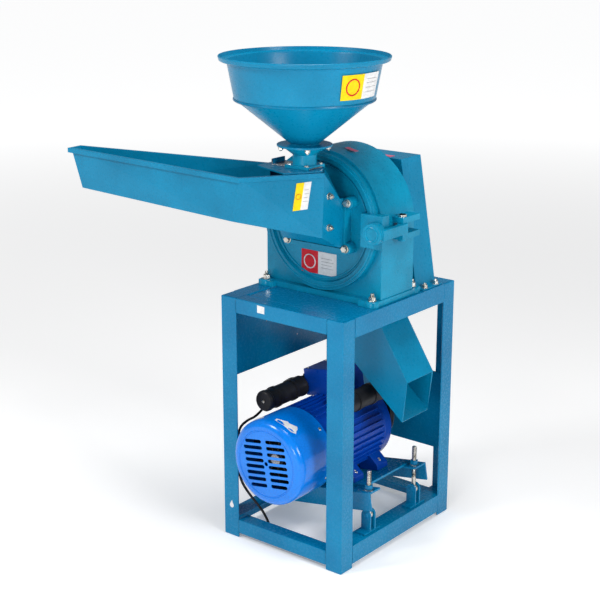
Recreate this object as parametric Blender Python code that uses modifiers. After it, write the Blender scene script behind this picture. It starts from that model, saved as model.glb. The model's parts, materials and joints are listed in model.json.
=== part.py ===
"""Hammer mill on an angle-iron stand, with its motor, belt drive, side feed tray and funnel.

Metres, +Z up. X runs along the front, which faces -Y. The origin is on the floor, under the
middle of the frame. Sizes that can be set by themselves are named here once.
"""
from math import cos, degrees, radians, sin, tan

import bmesh
import bpy
from mathutils import Vector

GAP = 0.0003            # left between pieces that touch
CLEAR = 0.0005          # radial running clearance
WELD = 1e-6             # merge distance for converted curves

# Stand
FRAME_W, FRAME_D, FRAME_H = 0.317, 0.400, 0.540
LEG = 0.040             # leg flange width
ANGLE_T = 0.004         # angle-iron thickness
RAIL_X = 0.032          # rails along X
RAIL_Y = 0.040          # rails along Y
FLOOR_GAP = 0.010       # under the bottom rails
PLATE_SLOT = 0.0105     # open slot left of the top plate
PANEL_T = 0.002
SKIRT_BOTTOM = 0.355
REAR_PANEL = (0.146, 0.325)

# Mill
AXIS_UP = 0.156         # mill axis above the stand
HOUSING_R = 0.1485
HOUSING_FRONT, HOUSING_BACK = -0.061, 0.052
CHAMBER_R, BACK_WALL = 0.128, 0.016
BASE_T = 0.0115
BASE_X, BASE_FRONT, BASE_BACK = 0.151, 0.078, 0.068
FOOT_OUT, FOOT_LONG = 0.010, 0.040
SHAFT_R = 0.0125
BEARING_R, BEARING_B = 0.026, 0.015
HUB_R, HUB_BACK = 0.042, 0.080
DISCHARGE = (-0.075, 0.075, -0.018, 0.032)
DOOR_R, DOOR_RIM_W = 0.1435, 0.0165
DOOR_T, DOOR_RIM_T = 0.006, 0.013
INLET_W, INLET_H, INLET_WALL = 0.144, 0.098, 0.010
INLET_FRONT = -0.088
SCREEN_R, SCREEN_T = 0.113, 0.002
DISC_R, DISC_T = 0.072, 0.008
PIN_CIRCLE, PIN_R = 0.060, 0.005
HAMMER_L, HAMMER_W, HAMMER_B = 0.046, 0.018, 0.034
HAMMERS = 4

# Door hinge and clamp
HINGE_X, HINGE_Y = 0.163, -0.012
HINGE_PIN_R = 0.005
KNUCKLE_R, KNUCKLE_H = 0.011, 0.021
LUG_T, LUG_OUT = 0.012, 0.174
LUG_Y = (-0.025, 0.035)
BOSS_X, BOSS_R = 0.152, 0.022
ARM_T = 0.012
CLAMP_X, CLAMP_R, KNOB_R, KNOB_H = -0.160, 0.005, 0.018, 0.018

# Feed
FEED_SHEET = 0.0016
TRAY_TOP, TRAY_FLOOR = 0.277, 0.195
TRAY_END_X, TRAY_NEAR_Y, TRAY_FAR_Y = -0.519, -0.268, -0.240
FOLD_X, FOLD_Y = -0.022, -0.293
SPOUT_X, SPOUT_Z = 0.072, (0.118, 0.216)
SPOUT_FRONT = -0.152
LIP_OUT, LIP_DOWN = 0.006, 0.009
HOPPER_X, HOPPER_Y = 0.020, -0.146
LID_T, GATE_T, GATE_W, GATE_TRAVEL = 0.003, 0.002, 0.041, 0.050
NECK_R, NECK_BORE, NECK_FLANGE = 0.0237, 0.021, 0.028
NECK_H, COLLAR_R, COLLAR_H = 0.040, 0.041, 0.016
FUNNEL_WALL = 0.002
FUNNEL_FLANGE_R, FUNNEL_FLANGE_T = 0.055, 0.004
CONE_R, CONE_H = 0.1375, 0.092
BAND_R, BAND_H = 0.1515, 0.072
RIM_R, RIM_H = 0.166, 0.012

# Drive
BELT_Y, BELT_W, BELT_T = 0.135, 0.013, 0.009
PULLEY_B = 0.026
MILL_PULLEY_R, MOTOR_PULLEY_R = 0.040, 0.055
GUARD_Y = (0.084, 0.156)
GUARD_TOP_X, GUARD_BOTTOM_X, GUARD_H = 0.092, 0.137, 0.272
GUARD_FLANGE = 0.018

# Motor and its tilting plate
PIVOT_X, PIVOT_Z, TILT = -0.140, 0.070, radians(9.65)
BAR_TOP, BAR_H, BAR_W = 0.024, 0.040, 0.040
BAR_RIGHT, BAR_LEFT = 0.302, -0.010
BAR_FRONT_Y, BAR_REAR_Y = -0.098, 0.113
WELD_LAP = 0.001
SHEET_T, SHEET_Y, SHEET_U = 0.004, (-0.066, 0.108), (0.015, 0.270)
PIVOT_R = 0.006
MOTOR_U, MOTOR_UP = 0.152, 0.090
MOTOR_R, BORE_R = 0.086, 0.052
BODY_Y = (-0.130, 0.068)
SHIELD_T = 0.014
COVER_R, COVER_FACE_R, COVER_FRONT = 0.0925, 0.076, -0.235
COVER_T, COVER_SHOULDER = 0.0015, 0.016
SHIELD_BACK = 0.113
FOOT_U, FOOT_V = 0.088, 0.012
FEET_Y = ((-0.064, -0.030), (0.020, 0.058))
MOTOR_SHAFT_R, CORE_R = 0.012, 0.050
FAN_R, FAN_Y = 0.072, (-0.205, -0.150)
TERMINAL = (0.100, 0.080, 0.060)
TERMINAL_Y = 0.020
CAP_R, CAP_L, CAP_OUT = 0.023, 0.130, 0.122
CAP_ANGLES = (radians(-30), radians(47))
CAP_FRONT_Y = (-0.150, -0.070)
GLAND_L, GLAND_R, GLAND_Y, GLAND_UP = 0.034, 0.008, -0.008, 0.033
BOLT_X, BOLT_R, BOLT_Y = 0.140, 0.005, (-0.080, 0.088)
EYE_R, EYE_Z = 0.010, 0.088
BOLT_TOP, NUT_H, NUT_R = 0.186, 0.010, 0.0092
SLOT_U, SLOT_W = 0.012, 0.0065
TAB_T, TAB_W, CLEVIS_PIN = 0.004, 0.024, 0.0115

# Chute
CHUTE_Y = (-0.020, 0.074)
CHUTE_LAP, CHUTE_TOP_RIGHT = 0.004, 0.088
CHUTE_MOUTH = ((0.180, 0.285), (0.190, 0.373))
CHUTE_T = 0.002

# Mains lead. The route's points are chosen by hand, the rest lies in a flat hank on the floor.
CORD_D = 0.0055
HANK_RUN, HANK_R, HANK_WIDE, HANK_HIGH = 0.085, 0.0168, 2, 2
HANK_X, HANK_Y = -0.0455, -0.147
PLUG = (0.037, 0.026, 0.018)
PLUG_PIN_R, PLUG_PIN_L = 0.0022, 0.016
ROUTE = [
    (-0.1131, -0.0080, 0.3134), (-0.127, -0.0095, 0.3095), (-0.138, -0.020, 0.300), (-0.143, -0.042, 0.286),
    (-0.141, -0.070, 0.272), (-0.134, -0.100, 0.262), (-0.127, -0.132, 0.2575), (-0.125, -0.158, 0.257),
    (-0.1285, -0.176, 0.248), (-0.133, -0.181, 0.226), (-0.135, -0.182, 0.190), (-0.1335, -0.181, 0.152),
    (-0.125, -0.1795, 0.122), (-0.109, -0.177, 0.100), (-0.093, -0.172, 0.081), (-0.0805, -0.164, 0.060),
    (-0.073, -0.158, 0.040), (-0.0665, -0.1545, 0.022), (-0.0575, -0.1550, 0.0088), (-0.0475, -0.1600, 0.0038),
]

# Worked out from the sizes above
AXIS_Z = FRAME_H + AXIS_UP
RAIL_TOP = FLOOR_GAP + RAIL_Y
DECK = FRAME_H + GAP
FEED_Z = FRAME_H            # feed heights are above the stand
UP = Vector((0, 0, 1))


def empty_scene():
    for obj in list(bpy.data.objects):
        bpy.data.objects.remove(obj, do_unlink=True)


def collection(name, hidden):
    made = bpy.data.collections.new(name)
    made.hide_render = hidden
    bpy.context.scene.collection.children.link(made)
    return made


empty_scene()
PARTS = collection("hammer_mill", False)
CUTTERS = collection("cutters", True)


def paint(name, colour, roughness, metallic=0.0):
    material = bpy.data.materials.new(name)
    material.use_nodes = True
    shader = material.node_tree.nodes["Principled BSDF"]
    shader.inputs["Base Color"].default_value = (*colour, 1)
    shader.inputs["Roughness"].default_value = roughness
    shader.inputs["Metallic"].default_value = metallic
    return material


FINISHES = {
    "teal": ((0.0, 0.27, 0.47), 0.35, 0.0),
    "blue": ((0.0, 0.13, 0.75), 0.3, 0.0),
    "steel": ((0.6, 0.6, 0.62), 0.35, 1.0),
    "zinc": ((0.75, 0.74, 0.72), 0.3, 1.0),
    "black": ((0.02, 0.02, 0.022), 0.45, 0.0),
    "rubber": ((0.03, 0.03, 0.03), 0.8, 0.0),
    "iron": ((0.3, 0.3, 0.31), 0.5, 1.0),
}


def adopt(obj, name, finish):
    """Names the object, puts it in its collection and gives it a material of its own."""
    obj.name = obj.data.name = name
    for old in list(obj.users_collection):
        old.objects.unlink(obj)
    helper = finish is None
    (CUTTERS if helper else PARTS).objects.link(obj)
    if helper:
        obj.hide_render = True
        obj.display_type = "WIRE"
    else:
        obj.data.materials.clear()
        obj.data.materials.append(paint(name + "_" + finish, *FINISHES[finish]))
    return obj


def mesh_object(name, vertices, faces, finish):
    """An open or closed surface from a few named corners, for folded sheet."""
    mesh = bpy.data.meshes.new(name)
    mesh.from_pydata([tuple(v) for v in vertices], [], faces)
    work = bmesh.new()
    work.from_mesh(mesh)
    bmesh.ops.remove_doubles(work, verts=work.verts, dist=WELD)
    bmesh.ops.recalc_face_normals(work, faces=work.faces)
    work.to_mesh(mesh)
    work.free()
    obj = bpy.data.objects.new(name, mesh)
    bpy.context.scene.collection.objects.link(obj)
    return adopt(obj, name, finish)


def box(name, low, high, finish=None):
    """A box between two corners, with its origin in its middle."""
    low, high = Vector(low), Vector(high)
    work = bmesh.new()
    bmesh.ops.create_cube(work, size=1)
    bmesh.ops.scale(work, vec=high - low, verts=work.verts)
    mesh = bpy.data.meshes.new(name)
    work.to_mesh(mesh)
    work.free()
    obj = bpy.data.objects.new(name, mesh)
    obj.location = (low + high) / 2
    bpy.context.scene.collection.objects.link(obj)
    return adopt(obj, name, finish)


TURNS = {"x": (radians(90), 0, radians(90)), "y": (radians(90), 0, 0), "z": (0, 0, 0)}


def slab(name, outlines, axis, low, high, finish=None, origin=(0, 0, 0)):
    """A flat outline, or an outline with holes, given depth along one axis.

    Outlines are (y, z) pairs for axis x, (x, z) for y and (x, y) for z.
    """
    if not isinstance(outlines[0][0], (tuple, list)):
        outlines = [outlines]
    pick = {"x": (1, 2), "y": (0, 2), "z": (0, 1)}[axis]
    curve = bpy.data.curves.new(name, "CURVE")
    curve.dimensions = "2D"
    curve.fill_mode = "BOTH"
    curve.extrude = (high - low) / 2
    for outline in outlines:
        spline = curve.splines.new("POLY")
        spline.points.add(len(outline) - 1)
        spline.use_cyclic_u = True
        for point, (a, b) in zip(spline.points, outline):
            point.co = (a - origin[pick[0]], b - origin[pick[1]], 0, 1)
    obj = bpy.data.objects.new(name, curve)
    bpy.context.scene.collection.objects.link(obj)
    obj.rotation_euler = TURNS[axis]
    middle = (low + high) / 2
    obj.location = origin
    depth_index = "xyz".index(axis)
    shift = middle - origin[depth_index]
    return bake(obj, name, finish, Vector((0, 0, -shift if axis == "y" else shift)))


def bake(obj, name, finish, shift=None):
    """Turns a curve into a welded mesh that keeps the object's place and turn."""
    graph = bpy.context.evaluated_depsgraph_get()
    mesh = bpy.data.meshes.new_from_object(obj.evaluated_get(graph))
    work = bmesh.new()
    work.from_mesh(mesh)
    bmesh.ops.remove_doubles(work, verts=work.verts, dist=WELD)
    bmesh.ops.dissolve_limit(work, angle_limit=radians(0.05), verts=work.verts, edges=work.edges)
    bmesh.ops.recalc_face_normals(work, faces=work.faces)
    if shift is not None:
        bmesh.ops.translate(work, vec=shift, verts=work.verts)
    work.to_mesh(mesh)
    work.free()
    made = bpy.data.objects.new(name, mesh)
    made.location, made.rotation_euler = obj.location.copy(), obj.rotation_euler.copy()
    bpy.context.scene.collection.objects.link(made)
    bpy.data.objects.remove(obj, do_unlink=True)
    return adopt(made, name, finish)


def turned(name, profile, location, finish=None, axis="y", steps=32):
    """A profile of (radius, height) points, closed on itself, turned round an axis."""
    mesh = bpy.data.meshes.new(name)
    count = len(profile)
    closed = profile[0][0] > 0 or profile[-1][0] > 0
    edges = [(i, (i + 1) % count) for i in range(count if closed else count - 1)]
    mesh.from_pydata([(r, 0, h) for r, h in profile], edges, [])
    obj = bpy.data.objects.new(name, mesh)
    bpy.context.scene.collection.objects.link(obj)
    obj.location = location
    obj.rotation_euler = {"y": (radians(-90), 0, 0), "z": (0, 0, 0), "x": (0, radians(90), 0)}[axis]
    screw = obj.modifiers.new("Turn", "SCREW")
    screw.steps = screw.render_steps = steps
    screw.use_merge_vertices = True
    screw.merge_threshold = 1e-5
    screw.use_smooth_shade = False
    return adopt(obj, name, finish)


def ring_profile(inner, outer, low, high):
    return [(outer, high), (outer, low), (inner, low), (inner, high)]


def rod_profile(radius, low, high):
    return [(0, high), (radius, high), (radius, low), (0, low)]


def boolean(obj, other, operation):
    modifier = obj.modifiers.new(operation.title(), "BOOLEAN")
    modifier.operation = operation
    modifier.solver = "EXACT"
    modifier.object = other
    return obj


def cut(obj, *others):
    for other in others:
        boolean(obj, other, "DIFFERENCE")
    return obj


def fuse(obj, *others):
    for other in others:
        boolean(obj, other, "UNION")
    return obj


def thicken(obj, thickness):
    solid = obj.modifiers.new("Sheet", "SOLIDIFY")
    solid.thickness = thickness
    solid.offset = 0
    solid.use_even_offset = True
    return obj


def arc(cx, cy, radius, start, end, steps):
    """Points on an arc, angles in degrees."""
    angles = [radians(start + (end - start) * i / steps) for i in range(steps + 1)]
    return [(cx + radius * cos(a), cy + radius * sin(a)) for a in angles]


def circle(cx, cy, radius, steps=24):
    return arc(cx, cy, radius, 0, 360 * (steps - 1) / steps, steps - 1)


def pivot(name, location, parent=None):
    """An empty on a joint's axis. Children keep their world place."""
    empty = bpy.data.objects.new(name, None)
    empty.empty_display_size = 0.03
    PARTS.objects.link(empty)
    empty.location = location
    if parent:
        attach(empty, parent)
    return empty


def attach(child, parent):
    child.parent = parent
    origin = Vector(parent.location)
    above = parent.parent
    while above:
        origin += above.location
        above = above.parent
    child.location = Vector(child.location) - origin
    return child


# ---------------------------------------------------------------- stand

def legs():
    for side_x, name_x in ((-1, "left"), (1, "right")):
        for side_y, name_y in ((-1, "front"), (1, "rear")):
            x, y = side_x * FRAME_W / 2, side_y * FRAME_D / 2
            outline = [
                (x, y), (x - side_x * LEG, y), (x - side_x * LEG, y - side_y * ANGLE_T),
                (x - side_x * ANGLE_T, y - side_y * ANGLE_T),
                (x - side_x * ANGLE_T, y - side_y * LEG), (x, y - side_y * LEG),
            ]
            slab(f"leg_{name_y}_{name_x}", outline, "z", 0, FRAME_H, "teal")


def rails_along_x():
    half = FRAME_W / 2 - LEG - GAP
    for side, name_y in ((-1, "front"), (1, "rear")):
        for top, name_z in ((FRAME_H, "top"), (FLOOR_GAP + RAIL_X, "bottom")):
            y = side * FRAME_D / 2
            outline = [
                (y, top), (y, top - RAIL_X), (y - side * ANGLE_T, top - RAIL_X),
                (y - side * ANGLE_T, top - ANGLE_T), (y - side * RAIL_X, top - ANGLE_T),
                (y - side * RAIL_X, top),
            ]
            slab(f"{name_z}_rail_{name_y}", outline, "x", -half, half, "teal")


def rails_along_y():
    between = FRAME_D / 2 - LEG - GAP
    inside = FRAME_D / 2 - ANGLE_T - GAP
    for side, name_x in ((-1, "left"), (1, "right")):
        x = side * FRAME_W / 2
        x_leg, x_in = x - side * (ANGLE_T + GAP), x - side * LEG
        for top, name_z in ((FRAME_H, "top"), (RAIL_TOP, "bottom")):
            name = f"{name_z}_rail_{name_x}"
            flange = [
                (x_in, -inside), (x_leg, -inside), (x_leg, -between), (x, -between),
                (x, between), (x_leg, between), (x_leg, inside), (x_in, inside),
            ]
            low = box(name + "_web", (min(x, x - side * ANGLE_T), -between, top - RAIL_Y),
                      (max(x, x - side * ANGLE_T), between, top - ANGLE_T / 2))
            fuse(slab(name, flange, "z", top - ANGLE_T, top, "teal"), low)


def top_plate():
    left = -FRAME_W / 2 + LEG + PLATE_SLOT
    right = FRAME_W / 2 - LEG - GAP
    reach = FRAME_D / 2 - RAIL_X - GAP
    plate = box("top_plate", (left, -reach, FRAME_H - ANGLE_T), (right, reach, FRAME_H), "teal")
    x0, x1, y0, y1 = DISCHARGE
    hole = box("deck_hole", (x0, y0, FRAME_H - 0.01), (x1, y1, FRAME_H + 0.01))
    half = BELT_W / 2 + 0.008
    slot = box("belt_slot", (-0.085, BELT_Y - half, FRAME_H - 0.01), (0.062, BELT_Y + half, FRAME_H + 0.01))
    cut(plate, hole, slot)


def panels():
    x = -FRAME_W / 2 + ANGLE_T + GAP
    y = FRAME_D / 2 - ANGLE_T - GAP
    box("side_skirt", (x, -y, SKIRT_BOTTOM), (x + PANEL_T, y, FRAME_H - ANGLE_T - GAP), "teal")
    half = FRAME_W / 2 - ANGLE_T - GAP
    box("rear_panel", (-half, y - PANEL_T, REAR_PANEL[0]), (half, y, REAR_PANEL[1]), "teal")


# ---------------------------------------------------------------- mill

def base_outline():
    x, front, back, out, long = BASE_X, -BASE_FRONT, BASE_BACK, FOOT_OUT, FOOT_LONG
    return [
        (-x, front - out), (-x + long, front - out), (-x + long, front), (x - long, front),
        (x - long, front - out), (x, front - out), (x, back + out), (x - long, back + out),
        (x - long, back), (-x + long, back), (-x + long, back + out), (-x, back + out),
    ]


def housing_outline():
    low = DECK + BASE_T / 2
    return [(-HOUSING_R, low), (HOUSING_R, low)] + arc(0, AXIS_Z, HOUSING_R, 0, 180, 32)


def hinge_lug(low):
    return box("lug_shape", (HOUSING_R - 0.004, LUG_Y[0], low), (LUG_OUT, LUG_Y[1], low + LUG_T))


def mill_housing():
    body = slab("mill_housing", housing_outline(), "y", HOUSING_FRONT, HOUSING_BACK, "teal")
    fuse(body, slab("base_shape", base_outline(), "z", DECK, DECK + BASE_T))
    centre = (0, 0, AXIS_Z)
    fuse(body, turned("hub_shape", rod_profile(HUB_R, HOUSING_BACK - 0.004, HUB_BACK), centre))
    knuckle = KNUCKLE_H / 2 + GAP
    fuse(body, hinge_lug(AXIS_Z + knuckle), hinge_lug(AXIS_Z - knuckle - LUG_T))
    ear = box("ear_shape", (CLAMP_X - 0.012, HOUSING_FRONT, AXIS_Z - 0.015),
              (-HOUSING_R + 0.004, HOUSING_FRONT + 0.024, AXIS_Z + 0.015))
    fuse(body, ear)
    inner, seat = HOUSING_BACK - BACK_WALL, bearing_start() - GAP
    bore, passage = BEARING_R + GAP, SHAFT_R + 0.003
    stepped = [(0, HUB_BACK + 0.01), (bore, HUB_BACK + 0.01), (bore, seat), (passage, seat), (passage, inner),
               (CHAMBER_R, inner), (CHAMBER_R, HOUSING_FRONT - 0.01), (0, HOUSING_FRONT - 0.01)]
    cut(body, turned("chamber", stepped, centre, steps=44))
    x0, x1, y0, y1 = DISCHARGE
    cut(body, box("discharge", (x0, y0, DECK - 0.01), (x1, y1, AXIS_Z - CHAMBER_R * 0.7)))
    pin_hole = turned("pin_hole", rod_profile(HINGE_PIN_R + GAP, -0.06, 0.06),
                      (HINGE_X, HINGE_Y, AXIS_Z), axis="z", steps=24)
    cut(body, pin_hole)
    cut(body, turned("clamp_hole", rod_profile(CLAMP_R + 0.0016, HOUSING_FRONT - 0.01, HOUSING_FRONT + 0.03),
                     (CLAMP_X, 0, AXIS_Z), steps=24))


def bearing_start():
    return HUB_BACK - 2 * BEARING_B - 2 * GAP - 0.002


def bearings():
    for index, name in enumerate(("bearing_front", "bearing_rear")):
        low = bearing_start() + index * (BEARING_B + GAP)
        turned(name, ring_profile(SHAFT_R + GAP, BEARING_R, low, low + BEARING_B), (0, 0, AXIS_Z), "steel")


def inlet_frame(extra):
    half_w, half_h = INLET_W / 2 + extra, INLET_H / 2 + extra
    return [(-half_w, AXIS_Z - half_h), (half_w, AXIS_Z - half_h), (half_w, AXIS_Z + half_h),
            (-half_w, AXIS_Z + half_h)]


def mill_door(hinge):
    back = HOUSING_FRONT - GAP
    face, rim = back - DOOR_T, back - DOOR_RIM_T
    dish = DOOR_R - DOOR_RIM_W
    profile = [(0, back), (DOOR_R, back), (DOOR_R, rim), (dish, rim), (dish - 0.003, face), (0, face)]
    door = turned("mill_door", profile, (0, 0, AXIS_Z), "teal", steps=64)
    frame = slab("inlet_shape", inlet_frame(INLET_WALL / 2), "y", INLET_FRONT, back - DOOR_T / 2)
    lug = box("door_lug", (0.112, rim - 0.009, AXIS_Z - 0.034), (HINGE_X + 0.002, back, AXIS_Z + 0.034))
    ear = box("door_ear", (CLAMP_X - 0.012, rim, AXIS_Z - 0.015), (-DOOR_R + 0.008, back, AXIS_Z + 0.015))
    fuse(door, frame, lug, ear)
    cut(door, slab("inlet_hole", inlet_frame(-INLET_WALL / 2), "y", INLET_FRONT - 0.01, back + 0.01))
    cut(door, turned("door_clamp_hole", rod_profile(CLAMP_R + CLEAR, rim - 0.01, back + 0.01),
                     (CLAMP_X, 0, AXIS_Z), steps=24))
    return attach(door, hinge)


def hinge_arm(hinge):
    inner = HOUSING_FRONT - GAP - DOOR_RIM_T - 0.009 - GAP
    outer = inner - ARM_T
    low, high = AXIS_Z - KNUCKLE_H / 2, AXIS_Z + KNUCKLE_H / 2
    right = HINGE_X + KNUCKLE_R + 0.004
    bar = right - ARM_T
    outline = [(BOSS_X - 0.010, outer), (right, outer), (right, HINGE_Y)]
    outline += arc(HINGE_X, HINGE_Y, KNUCKLE_R, 20, 200, 12)
    outline += [(HINGE_X - 0.004, HINGE_Y - 0.012), (bar, HINGE_Y - 0.022), (bar, inner), (BOSS_X - 0.010, inner)]
    arm = slab("hinge_arm", outline, "z", low, high, "teal", origin=(HINGE_X, HINGE_Y, AXIS_Z))
    boss = turned("boss_shape", rod_profile(BOSS_R, outer - 0.004, inner), (BOSS_X, 0, AXIS_Z))
    fuse(arm, boss)
    cut(arm, turned("arm_hole", rod_profile(HINGE_PIN_R + CLEAR, -0.03, 0.03),
                    (HINGE_X, HINGE_Y, AXIS_Z), axis="z", steps=24))
    return attach(arm, hinge)


def hinge_pin():
    top = KNUCKLE_H / 2 + GAP + LUG_T + GAP
    profile = [(0, top + 0.004), (0.009, top + 0.004), (0.009, top), (HINGE_PIN_R, top),
               (HINGE_PIN_R, -top - 0.004), (0, -top - 0.004)]
    turned("hinge_pin", profile, (HINGE_X, HINGE_Y, AXIS_Z), "zinc", axis="z", steps=24)


def clamp_knob(hinge):
    face = HOUSING_FRONT - GAP - DOOR_RIM_T - GAP
    tip = HOUSING_FRONT + 0.008
    knob = turned("clamp_knob", [(0, tip), (CLAMP_R, tip), (CLAMP_R, face), (0.009, face), (0.009, face - 0.006),
                                 (KNOB_R, face - 0.006), (KNOB_R, face - KNOB_H), (0, face - KNOB_H)],
                  (CLAMP_X, 0, AXIS_Z), "black", steps=24)
    return attach(knob, hinge)


def screen_ring():
    inner = HOUSING_BACK - BACK_WALL - GAP
    turned("screen_ring", ring_profile(SCREEN_R - SCREEN_T, SCREEN_R, HOUSING_FRONT + GAP, inner),
           (0, 0, AXIS_Z), "steel", steps=48)


def rotor(spin):
    """The disc keyed to the shaft, with the ring that carries the hammer pins in front of it."""
    shaft = turned("rotor_shaft", rod_profile(SHAFT_R, -0.030, BELT_Y + PULLEY_B / 2 + 0.004), (0, 0, AXIS_Z), "steel")
    attach(shaft, spin)
    disc = turned("rotor_disc", [(DISC_R, 0.018), (DISC_R, 0.018 - DISC_T), (0.024, 0.018 - DISC_T), (0.024, -0.004),
                                 (SHAFT_R + GAP, -0.004), (SHAFT_R + GAP, 0.018)], (0, 0, AXIS_Z), "iron")
    pins = []
    back = 0.018 + 0.002
    front_ring = -0.034
    carrier = turned("hammer_carrier", ring_profile(PIN_CIRCLE - 0.012, DISC_R, front_ring - 0.005, front_ring),
                     (0, 0, AXIS_Z), "steel")
    for index in range(HAMMERS):
        turn = radians(45 + 90 * index)
        place = (PIN_CIRCLE * cos(turn), 0, AXIS_Z + PIN_CIRCLE * sin(turn))
        pins.append(turned(f"pin_shape_{index}", rod_profile(PIN_R, front_ring - 0.003, back), place, steps=16))
        hole = turned(f"pin_hole_{index}", rod_profile(PIN_R + GAP, -0.01, 0.03), place, steps=16)
        cut(disc, hole)
    fuse(carrier, *pins)
    attach(disc, spin)
    attach(carrier, spin)


def hammers(spin):
    reach = PIN_CIRCLE + HAMMER_L
    for index in range(HAMMERS):
        angle = 45 + 90 * index
        turn = radians(angle)
        out = Vector((cos(turn), 0, sin(turn)))
        side = Vector((-sin(turn), 0, cos(turn)))
        centre = Vector((0, 0, AXIS_Z)) + out * PIN_CIRCLE
        half = HAMMER_W / 2
        tip = reach - PIN_CIRCLE
        corners = [(tip, -half), (tip, half)] + arc(0, 0, half, 90, 270, 8)
        outline = []
        for u, v in corners:
            spot = centre + out * u + side * v
            outline.append((spot.x, spot.z))
        hole = [(centre.x + x, centre.z + z) for x, z in circle(0, 0, PIN_R + CLEAR, 16)]
        low = -0.034 + GAP + 0.002
        hammer = slab(f"hammer_{index + 1}", [outline, hole], "y", low, low + HAMMER_B, "iron",
                      origin=(centre.x, 0, centre.z))
        attach(hammer, spin)


def pulley(name, radius, bore, x, z, spin):
    low, high = BELT_Y - PULLEY_B / 2, BELT_Y + PULLEY_B / 2
    groove, floor = BELT_W / 2 + GAP, radius - BELT_T - GAP
    profile = [
        (radius, high), (radius, BELT_Y + groove), (floor, BELT_Y + groove), (floor, BELT_Y - groove),
        (radius, BELT_Y - groove), (radius, low), (bore + GAP, low), (bore + GAP, high),
    ]
    attach(turned(name, profile, (x, 0, z), "iron", steps=48), spin)


def belt_guard():
    low, high = GUARD_Y
    top = DECK + GUARD_H
    t = PANEL_T

    def trapezoid(inset, bottom):
        slope = (GUARD_BOTTOM_X - GUARD_TOP_X) / GUARD_H
        peak = top - inset
        foot = GUARD_BOTTOM_X - inset + slope * (DECK - bottom)
        return [(-foot, bottom), (foot, bottom), (GUARD_TOP_X - inset, peak), (-GUARD_TOP_X + inset, peak)]

    guard = slab("belt_guard", trapezoid(0, DECK), "y", low, high, "teal")
    flange = GUARD_BOTTOM_X + GUARD_FLANGE
    fuse(guard, box("guard_flange", (-flange, low, DECK), (flange, high, DECK + 0.003)))
    cut(guard, slab("guard_hollow", trapezoid(t, DECK - 0.01), "y", low + t, high - t))
    cut(guard, turned("guard_hole", rod_profile(0.024, low - 0.01, low + 0.02), (0, 0, AXIS_Z)))


# ---------------------------------------------------------------- feed

def lip_line(points, z):
    """The tray's upper edge, moved outwards in plan by the lip's width."""
    moved = []
    for i, p in enumerate(points):
        before = points[max(i - 1, 0)]
        after = points[min(i + 1, len(points) - 1)]
        normals = []
        for a, b in ((before, p), (p, after)):
            run = Vector((b[0] - a[0], b[1] - a[1]))
            if run.length > 0:
                run.normalize()
                normals.append(Vector((run.y, -run.x)))
        bisector = sum(normals, Vector((0, 0))).normalized()
        scale = LIP_OUT / max(0.35, bisector.dot(normals[0]))
        moved.append((p[0] + bisector.x * scale, p[1] + bisector.y * scale, z))
    return moved


def feed_tray(hinge):
    top, floor = FEED_Z + TRAY_TOP, FEED_Z + TRAY_FLOOR
    low, high = FEED_Z + SPOUT_Z[0] - 0.011 + 0.011, FEED_Z + SPOUT_Z[1]
    mouth = INLET_FRONT - GAP
    bend = mouth - 0.012
    v = {
        "near_top": (TRAY_END_X, TRAY_NEAR_Y, top), "far_top": (TRAY_END_X - 0.002, TRAY_FAR_Y, top),
        "near_low": (TRAY_END_X + 0.027, TRAY_NEAR_Y + 0.002, floor),
        "far_low": (TRAY_END_X + 0.025, TRAY_FAR_Y - 0.002, floor),
        "fold_top": (FOLD_X, FOLD_Y, top), "fold_low": (FOLD_X - 0.020, FOLD_Y, floor - 0.005),
        "back_top": (-SPOUT_X, -0.142, top), "back_low": (-SPOUT_X, -0.142, floor - 0.011),
        "left_top": (-SPOUT_X, bend - 0.008, top), "left_mid": (-SPOUT_X, bend, high),
        "left_end": (-SPOUT_X, mouth, high), "left_lip": (-SPOUT_X, mouth, low), "left_low": (-SPOUT_X, bend, low),
        "right_top": (SPOUT_X, SPOUT_FRONT, top), "right_mid": (SPOUT_X, bend, high),
        "right_end": (SPOUT_X, mouth, high), "right_lip": (SPOUT_X, mouth, low), "right_low": (SPOUT_X, bend, low),
        "front_low": (SPOUT_X, SPOUT_FRONT - 0.004, low + 0.030), "crown": (0.040, bend - 0.008, top),
    }
    edge = ["back_top", "far_top", "near_top", "fold_top", "right_top"]
    outer = lip_line([v[k] for k in edge], top)
    for key, spot in zip(edge, outer):
        v[key + "_lip"] = spot
        v[key + "_hem"] = (spot[0], spot[1], top - LIP_DOWN)
    panels_of = [
        ("near_top", "fold_top", "fold_low", "near_low"), ("far_top", "near_top", "near_low", "far_low"),
        ("back_top", "far_top", "far_low", "back_low"), ("near_low", "fold_low", "back_low", "far_low"),
        ("back_top", "back_low", "left_low", "left_lip", "left_end", "left_mid", "left_top"),
        ("left_top", "left_mid", "right_mid", "crown"), ("crown", "right_mid", "right_top"),
        ("left_mid", "left_end", "right_end", "right_mid"),
        ("right_top", "right_mid", "right_end", "right_lip", "right_low", "front_low"),
        ("fold_top", "right_top", "front_low", "fold_low"),
        ("left_low", "right_low", "right_lip", "left_lip"),
        ("back_low", "front_low", "right_low", "left_low"), ("fold_low", "front_low", "back_low"),
    ]
    for a, b in zip(edge, edge[1:]):
        panels_of.append((a, b, b + "_lip", a + "_lip"))
        panels_of.append((a + "_lip", b + "_lip", b + "_hem", a + "_hem"))
    names = list(v)
    faces = [[names.index(k) for k in panel] for panel in panels_of]
    tray = mesh_object("feed_tray", [v[k] for k in names], faces, "teal")
    thicken(tray, FEED_SHEET)
    return attach(tray, hinge)


def lid_bottom():
    return FEED_Z + TRAY_TOP + FEED_SHEET / 2 + GAP


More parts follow.
